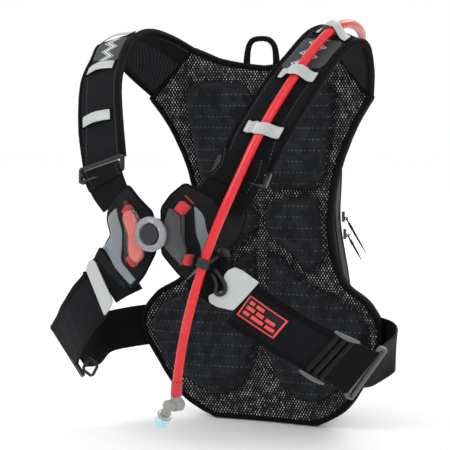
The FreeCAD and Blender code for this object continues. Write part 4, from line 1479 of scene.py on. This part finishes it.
def mirrored_outline(points, steps=10):
    """A smooth closed outline from its right-hand side, both ends on the middle line."""
    line = [Vector((x, z, 0)) for x, z in points]
    mirror = [Vector((-p.x, p.y, 0)) for p in line]
    whole = [mirror[1]] + line + [mirror[-2]]
    fine = through(whole, steps)[steps:-steps]
    right = [(p.x, p.y) for p in fine]
    right[0] = (0.0, right[0][1])
    right[-1] = (0.0, right[-1][1])
    return right + [(-x, z) for x, z in reversed(right[1:-1])]


BAG_OUTLINE = mirrored_outline(BAG_SIDE, 14)


def bag_ring(y, inset, shrink=1.0, wall=0.0, slack=1.0):
    """One closed ring of the bag: drawn in by the inset, then shrunk towards the middle line.

    y None puts the ring on the panel's rear face."""
    ring = []
    for x, z in BAG_OUTLINE:
        centre = Vector((0, min(max(z, BAG_LOW), BAG_HIGH)))
        out = Vector((x, z)) - centre
        flat = centre + out * ((1 - (inset + wall) / out.length) * shrink)
        depth = rear_face(flat.x) + 0.2 if y is None else y
        dent = noise.noise(Vector((flat.x * 0.022, depth * 0.03, flat.y * 0.022)))
        fine = noise.noise(Vector((flat.x * 0.07 + 5, depth * 0.09, flat.y * 0.05)))
        near_zip = math.exp(-((depth - ZIP_DEPTH) / 11) ** 2)
        move = slack * (1.6 * dent + 0.7 * fine) * (1 - 0.8 * near_zip)
        out.normalize()
        aside = move * min(shrink * 1.4, 1)
        ring.append(Vector((flat.x + out.x * aside, depth + move * (1 - shrink) * 1.4,
                            max(flat.y + out.y * aside, 1.0))))
    return ring


def bag_rings(wall):
    """The bag's rings from the panel to the middle of its rear face."""
    rings = [bag_ring(None, 0, wall=wall, slack=0.0), bag_ring(8, 0, wall=wall, slack=0.5)]
    fine = through([Vector((y, inset, 0)) for y, inset in BAG_DEPTHS], 3)
    rings += [bag_ring(p.x - (wall if p.x > 80 else 0), p.y, wall=wall) for p in fine]
    for k, rise in ((0.90, 0.9), (0.76, 1.5), (0.60, 2.0), (0.42, 2.3), (0.24, 2.5), (0.08, 2.5)):
        rings.append(bag_ring(96 - wall + rise, 50, shrink=k))
    return rings


def make_bag():
    """Outer wall, then the inner wall back to the front, joined at the rim behind the panel."""
    rings = list(reversed(bag_rings(0.0))) + bag_rings(2.0)
    verts = [p for ring in rings for p in ring]
    piece("soft_bag", verts, ring_faces(len(rings), len(BAG_OUTLINE)), bag_cloth, "pack_fabric",
          stands_for=("bag_shell",))


def make_bag_seams():
    """Piping where the back of the bag meets its sides, and a seam round the lower body."""
    for name, depth, inset, radius in (("bag_piping", 84, 28, 1.7),
                                       ("bag_side_seam", 22, 1.2, 0.9)):
        ring = bag_ring(depth, inset - 0.4)
        thread_piece(name, ring + ring[:2], radius, binding_tape, "binding_tape")


def make_main_zipper():
    """Two tapes and a coil that follow the bag from one side over the top to the other."""
    lines = []
    for from_coil, inset in ((-6.5, 10.0), (-1.0, 11.6), (1.0, 12.2), (6.5, 15.2)):
        ring = bag_ring(ZIP_DEPTH + from_coil, inset - 0.5)
        start = next(i for i, p in enumerate(ring) if p.z > ZIP_LOW)
        lines.append([p for p in ring[start:] if p.z > ZIP_LOW])
    parts = []
    for one, two in (lines[:2], lines[2:]):
        verts, path = [], []
        for i, (p, q) in enumerate(zip(one, two)):
            out = Vector((p.x, 0, p.z - min(max(p.z, BAG_LOW), BAG_HIGH))).normalized()
            verts += [p - out * 0.6, p + out * 0.3, q + out * 0.4, q - out * 0.6]
            path += [(i * 4.0, across, 0) for across in (0.0, 0.0, 5.5, 5.5)]
        parts.append((verts, ring_faces(len(one), 4), path))
    verts, faces, path = joined(*parts)
    piece("zipper_tapes", verts, faces, zip_tape, "zipper_tape", stands_for=("main_zipper",),
          path=path)
    middle = [(p + q) / 2 for p, q in zip(lines[1], lines[2])]
    run, path = 0.0, []
    for i, here in enumerate(middle):
        run += (here - middle[max(i - 1, 0)]).length
        path += [(run, j, 0) for j in range(10)]
    piece("zipper_coil", *tube_along(middle, 0.9, normal=(0, 1, 0)), zip_coil, "zipper_tape",
          path=path)


def make_pocket():
    """A domed pocket with a bound rim and an upright zip; rings give y, inset and shrink."""
    outline = mirrored_outline(POCKET_SIDE)
    centre = Vector((0, 150))
    rings = []
    for y, inset, shrink in ((82, 0, 1), (92, 0.4, 1), (100, 1, 1), (105, 2.4, 1), (109, 5, 1),
                             (111.6, 9, 1), (112.3, 9, 0.9), (112.5, 9, 0.7), (112.4, 9, 0.45),
                             (112.2, 9, 0.2), (112.2, 9, 0.04)):
        ring = []
        for x, z in outline:
            out = Vector((x, z)) - centre
            flat = centre + out * (1 - inset / out.length) * shrink
            sag = 1.2 * noise.noise(Vector((flat.x * 0.03, y * 0.04, flat.y * 0.03 + 7)))
            away = out.normalized()
            aside = sag if shrink == 1 else 0
            deeper = min(sag, 0.6) if shrink < 1 else 0
            ring.append(Vector((flat.x + away.x * aside, y + deeper, flat.y + away.y * aside)))
        rings.append(ring)
    verts = [p for ring in rings for p in ring]
    piece("back_pocket", verts, ring_faces(len(rings), len(outline)), bag_cloth, "pack_fabric",
          stands_for=("front_pocket",))
    rim = rings[4] + rings[4][:1]
    thread_piece("pocket_piping", rim, 1.4, binding_tape, "binding_tape", normal=(0, 1, 0))
    heights = [88 + i * 3.0 for i in range(47)]
    section = ((-6, 111.4), (-6, 112.6), (-1.2, 113.1), (1.2, 113.1), (6, 112.6), (6, 111.4))
    verts = [(x, y, z) for z in heights for x, y in section]
    piece("pocket_zip_tape", verts, ring_faces(len(heights), len(section)), zip_tape, "zipper_tape",
          stands_for=("pocket_zipper",), path=[(z, x, 0) for x, _, z in verts])
    thread_piece("pocket_zip_coil", [(0, 113.0, z) for z in heights], 1.3, zip_coil, "zipper_tape",
                 around=10, normal=(0, 1, 0))


def make_base():
    thickness = 3.0
    outline = rounded([(-58, 0), (58, 0), (54, 76), (-54, 76)], 10)
    verts, faces = slab(outline, lambda x, y, lift: Vector((x, y, thickness - lift)), thickness,
                        centre=(0, 38))
    path = [(v[0], v[1], 0) for v in verts]
    piece("bag_floor", verts, faces, base_cloth, "base_fabric", stands_for=("bag_base",), path=path)


def make_haul_loop():
    """A webbing loop: up, over and back down into the panel's top seam, wider towards its feet."""
    points = ((-27.6, 415), (-28.2, 430), (-26.4, 446), (-22.4, 455), (-15, 458.6), (-2, 458.4),
              (5.6, 454), (9.4, 446), (10.8, 430), (9.4, 415))
    section = ((-3.2, -1.2), (-2.6, -2.0), (0, -2.2), (2.6, -2.0), (3.2, -1.2), (3.2, 1.2),
               (2.6, 2.0), (0, 2.2), (-2.6, 2.0), (-3.2, 1.2))
    line = through([(x, 2.4, z) for x, z in points], 5)
    verts, path, run = [], [], 0.0
    for i, here in enumerate(line):
        way = (line[min(i + 1, len(line) - 1)] - line[max(i - 1, 0)]).normalized()
        side = way.cross(Vector((0, 1, 0))).normalized()
        run += (here - line[max(i - 1, 0)]).length
        wide = 1 + 0.45 * max(0, 452 - here.z) / 37
        verts += [here + side * a * wide + Vector((0, b, 0)) for a, b in section]
        path += [(run, a, b) for a, b in section]
    piece("haul_loop_web", verts, ring_faces(len(line), len(section)), webbing, "webbing",
          stands_for=("haul_loop",), path=path)


def make_pull(node, hinge, way, length, bend):
    """A cord eye round the slider's bridge, a knot and a tail that thins out."""
    hinge, way, bend = Vector(hinge), Vector(way).normalized(), Vector(bend)
    side = way.cross(Vector((0, 0, 1)))
    side = (side if side.length > 0.05 else Vector((1, 0, 0))).normalized()
    eye = [hinge + way * (3.4 - 3.4 * math.cos(a)) + side * 2.9 * math.sin(a)
           for a in (2 * math.pi * k / 24 for k in range(25))]
    tail = [hinge + way * (6.4 + (length - 6.4) * t) + bend * t * t
            for t in (k / 20 for k in range(21))]
    verts, faces = joined(tube_along(eye, 0.85, around=8, normal=way.cross(side)),
                          tube_along(tail, (1.5, 1.7, 1.3, 1.3, 1.2, 1.1, 1.0, 0.8, 0.5)))
    path = [((Vector(p) - hinge).length, 0, 0) for p in verts]
    piece(node + "_cord", verts, faces, pull_cord, "pull_cord", body=node, stands_for=(node,),
          path=path)


# ---------------------------------------------------------------- bite valve and tube fittings
END = Vector(TUBE_ROUTE[-1])
DOWN = (END - Vector(TUBE_ROUTE[-2])).normalized()
VALVE_AXIS = Vector((-0.4, -0.917, 0)).normalized()
MOUTH_AXIS = Vector((-0.55, 0.24, -0.80)).normalized()
CORE = END + DOWN * 11
NECK = CORE + VALVE_AXIS * 8
CLIP = Vector((59, -281, 222))

elbow_grey = plain("elbow_grey", (0.235, 0.245, 0.222), 0.4, depth=0.05)
sleeve_red = plain("sleeve_red", (0.42, 0.010, 0.014), 0.28, depth=0.04, Coat_Weight=0.3)
valve_clear = clear_cover("valve_clear", (0.80, 0.82, 0.80), 0.12, 0.85)


def silicone():
    g = Graph("valve_silicone", (0.55, 0.76, 0.88), 0.3, 0.45, Subsurface_Weight=0.5,
              Subsurface_Scale=0.004, Transmission_Weight=0.35)
    g.color(g.mix(g.noise(g.place(), 160.0, 3.0), (0.42, 0.68, 0.84), (0.78, 0.90, 0.96)))
    g.bump(g.noise(g.place(), 500.0, 2.0), 0.06)
    return g.material


bite_silicone = silicone()


def make_fittings():
    """The sleeve on the tube's end, which hangs with the tube, and the clip on the chest."""
    sleeve = [(5.15, -16.6), (5.7, -16.4), (6.1, -15.6), (6.2, -12.5), (6.0, -11.8), (6.2, -11.0),
              (6.2, -4.2), (6.0, -3.6), (6.2, -2.9), (6.2, -0.9), (5.9, -0.1), (5.15, 0)]
    collar = [(5.5, -5), (6.9, -5.0), (7.6, -4.3), (7.6, -1.6), (7.3, -1.1), (7.3, 1.1), (7.6, 1.6),
              (7.6, 4.3), (6.9, 5.0), (5.5, 5)]
    foot_profile = [(0.01, -1), (7.4, -1), (8.0, -0.4), (8.0, 1.4), (7.2, 2.2), (0.01, 2.4)]
    sleeve_cover = piece("tube_sleeve_cover", *turned_ring(sleeve, END, DOWN), sleeve_red,
                         "red_tube", stands_for=("tube_sleeve",))
    index = TUBE_ROUTE.index(tuple(CLIP))
    axis = (Vector(TUBE_ROUTE[index + 1]) - Vector(TUBE_ROUTE[index - 1])).normalized()
    foot = chest(CLIP.x + 6, CLIP.z + 6, 4.4)
    root = CLIP + Vector((4.5, 3.5, 1))
    whole = joined(turned_ring(collar, CLIP, axis),
                   tube_along([root, (root + foot) / 2, foot], 2.6, 12),
                   revolve(foot_profile, foot, (0.3, -1, 0), 36))
    piece("tube_clip_cover", *whole, hard_black, "black_plastic", stands_for=("tube_clip",))
    return [sleeve_cover]


def make_valve():
    collar = [(0.01, 0.2), (5.0, 0.2), (5.6, 0.8), (5.6, 2.2), (5.2, 2.6), (5.6, 3.0), (5.6, 4.8),
              (5.0, 6.5), (4.6, 10.5), (0.01, 11)]
    barrel = [(0.01, -8), (6.2, -8.0), (7.0, -7.2), (7.0, -5.4), (6.6, -5.0), (7.0, -4.6),
              (7.0, 1.6), (6.6, 2.0), (7.0, 2.4), (6.6, 3.0), (0.01, 3)]
    window = [(0.01, -9.6), (4.6, -9.6), (5.4, -9.0), (5.6, -8.0), (0.01, -8)]
    disc = [(0.01, 3.3), (5.8, 3.3), (6.2, 3.8), (6.2, 6.0), (5.9, 6.4), (6.2, 6.8), (6.2, 11.8),
            (5.4, 12.6), (2.0, 12.8), (0.01, 12.8)]
    neck = [(0.01, 0), (4.9, 0), (4.9, 3), (4.5, 5), (4.5, 8.5), (5.3, 9.0), (5.3, 10.5),
            (4.6, 11.0), (4.6, 13), (0.01, 13)]
    ring = [(4.0, 13.05), (7.4, 13.05), (8.0, 13.6), (8.0, 15.2), (7.4, 15.95), (4.0, 15.95)]
    mouth = [(0.01, 16.1), (5.5, 16.1), (5.9, 17.5), (6.6, 19.0), (6.4, 19.6), (6.9, 21.0),
             (7.4, 23.5), (7.6, 25.0), (7.2, 26.6), (6.2, 28.0), (4.0, 27.6), (1.6, 26.6),
             (0.01, 26.2)]
    lever = [NECK + VALVE_AXIS * 3.2 + MOUTH_AXIS * k for k in (-5.0, -2.0, 1.5, 5.0)]
    elbow = joined(revolve(collar, END, DOWN, 36), revolve(barrel, CORE, VALVE_AXIS))
    stem = joined(revolve(disc, CORE, VALVE_AXIS, 36), revolve(neck, NECK, MOUTH_AXIS, 36),
                  tube_along(lever, 1.5))
    flange = turned_ring(ring, NECK, MOUTH_AXIS, 48)
    return [
        piece("elbow_shell", *elbow, elbow_grey, "valve_grey", body="valve_elbow",
              stands_for=("valve_elbow",)),
        piece("elbow_window", *revolve(window, CORE, VALVE_AXIS, 32), valve_clear, "valve_clear",
              body="valve_elbow"),
        piece("valve_neck", *stem, elbow_grey, "valve_grey", body="bite_valve",
              stands_for=("valve_body",)),
        piece("valve_flange", *flange, valve_clear, "valve_clear", body="bite_valve",
              stands_for=("valve_ring",)),
        piece("bite_mouthpiece", *revolve(mouth, NECK, MOUTH_AXIS), bite_silicone, "valve_silicone",
              body="bite_valve", stands_for=("mouthpiece",)),
    ]


def dress(nodes, material):
    """Gives CAD nodes a finished material without touching their meshes."""
    for node in nodes.split():
        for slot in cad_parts[node].material_slots:
            slot.link = "OBJECT"
            slot.material = material


make_bag()
make_bag_seams()
make_main_zipper()
make_pocket()
make_base()
make_haul_loop()
slant = Vector((0.438, 0.195, -0.878))
make_pull("upper_pull", (74.76, 61.52, 242), slant, 44, (2, 1, -3))
make_pull("lower_pull", (73.77, 68.10, 221), slant, 32, (1, 0, -2))
make_pull("pocket_pull", (0, 119, 216), (0, 0.1, -1), 34, (0, 0.8, 0))
on_the_tube = make_fittings() + make_valve()
dress("ladder_lock_left ladder_lock_right side_ring_right hose_port", hard_black)
dress("side_ring_left", grey_plastic)
dress("upper_slider lower_slider pocket_slider", slider_metal)
dress("reservoir", film)
dress("reservoir_bar hose_outlet", pale_plastic)
dress("reservoir_cap connector_button", blue_plastic)
dress("inner_hose", valve_clear)


# ---------------------------------------------------------------- where the cord starts
exit_point = Vector(TUBE_ROUTE[0]) * MM
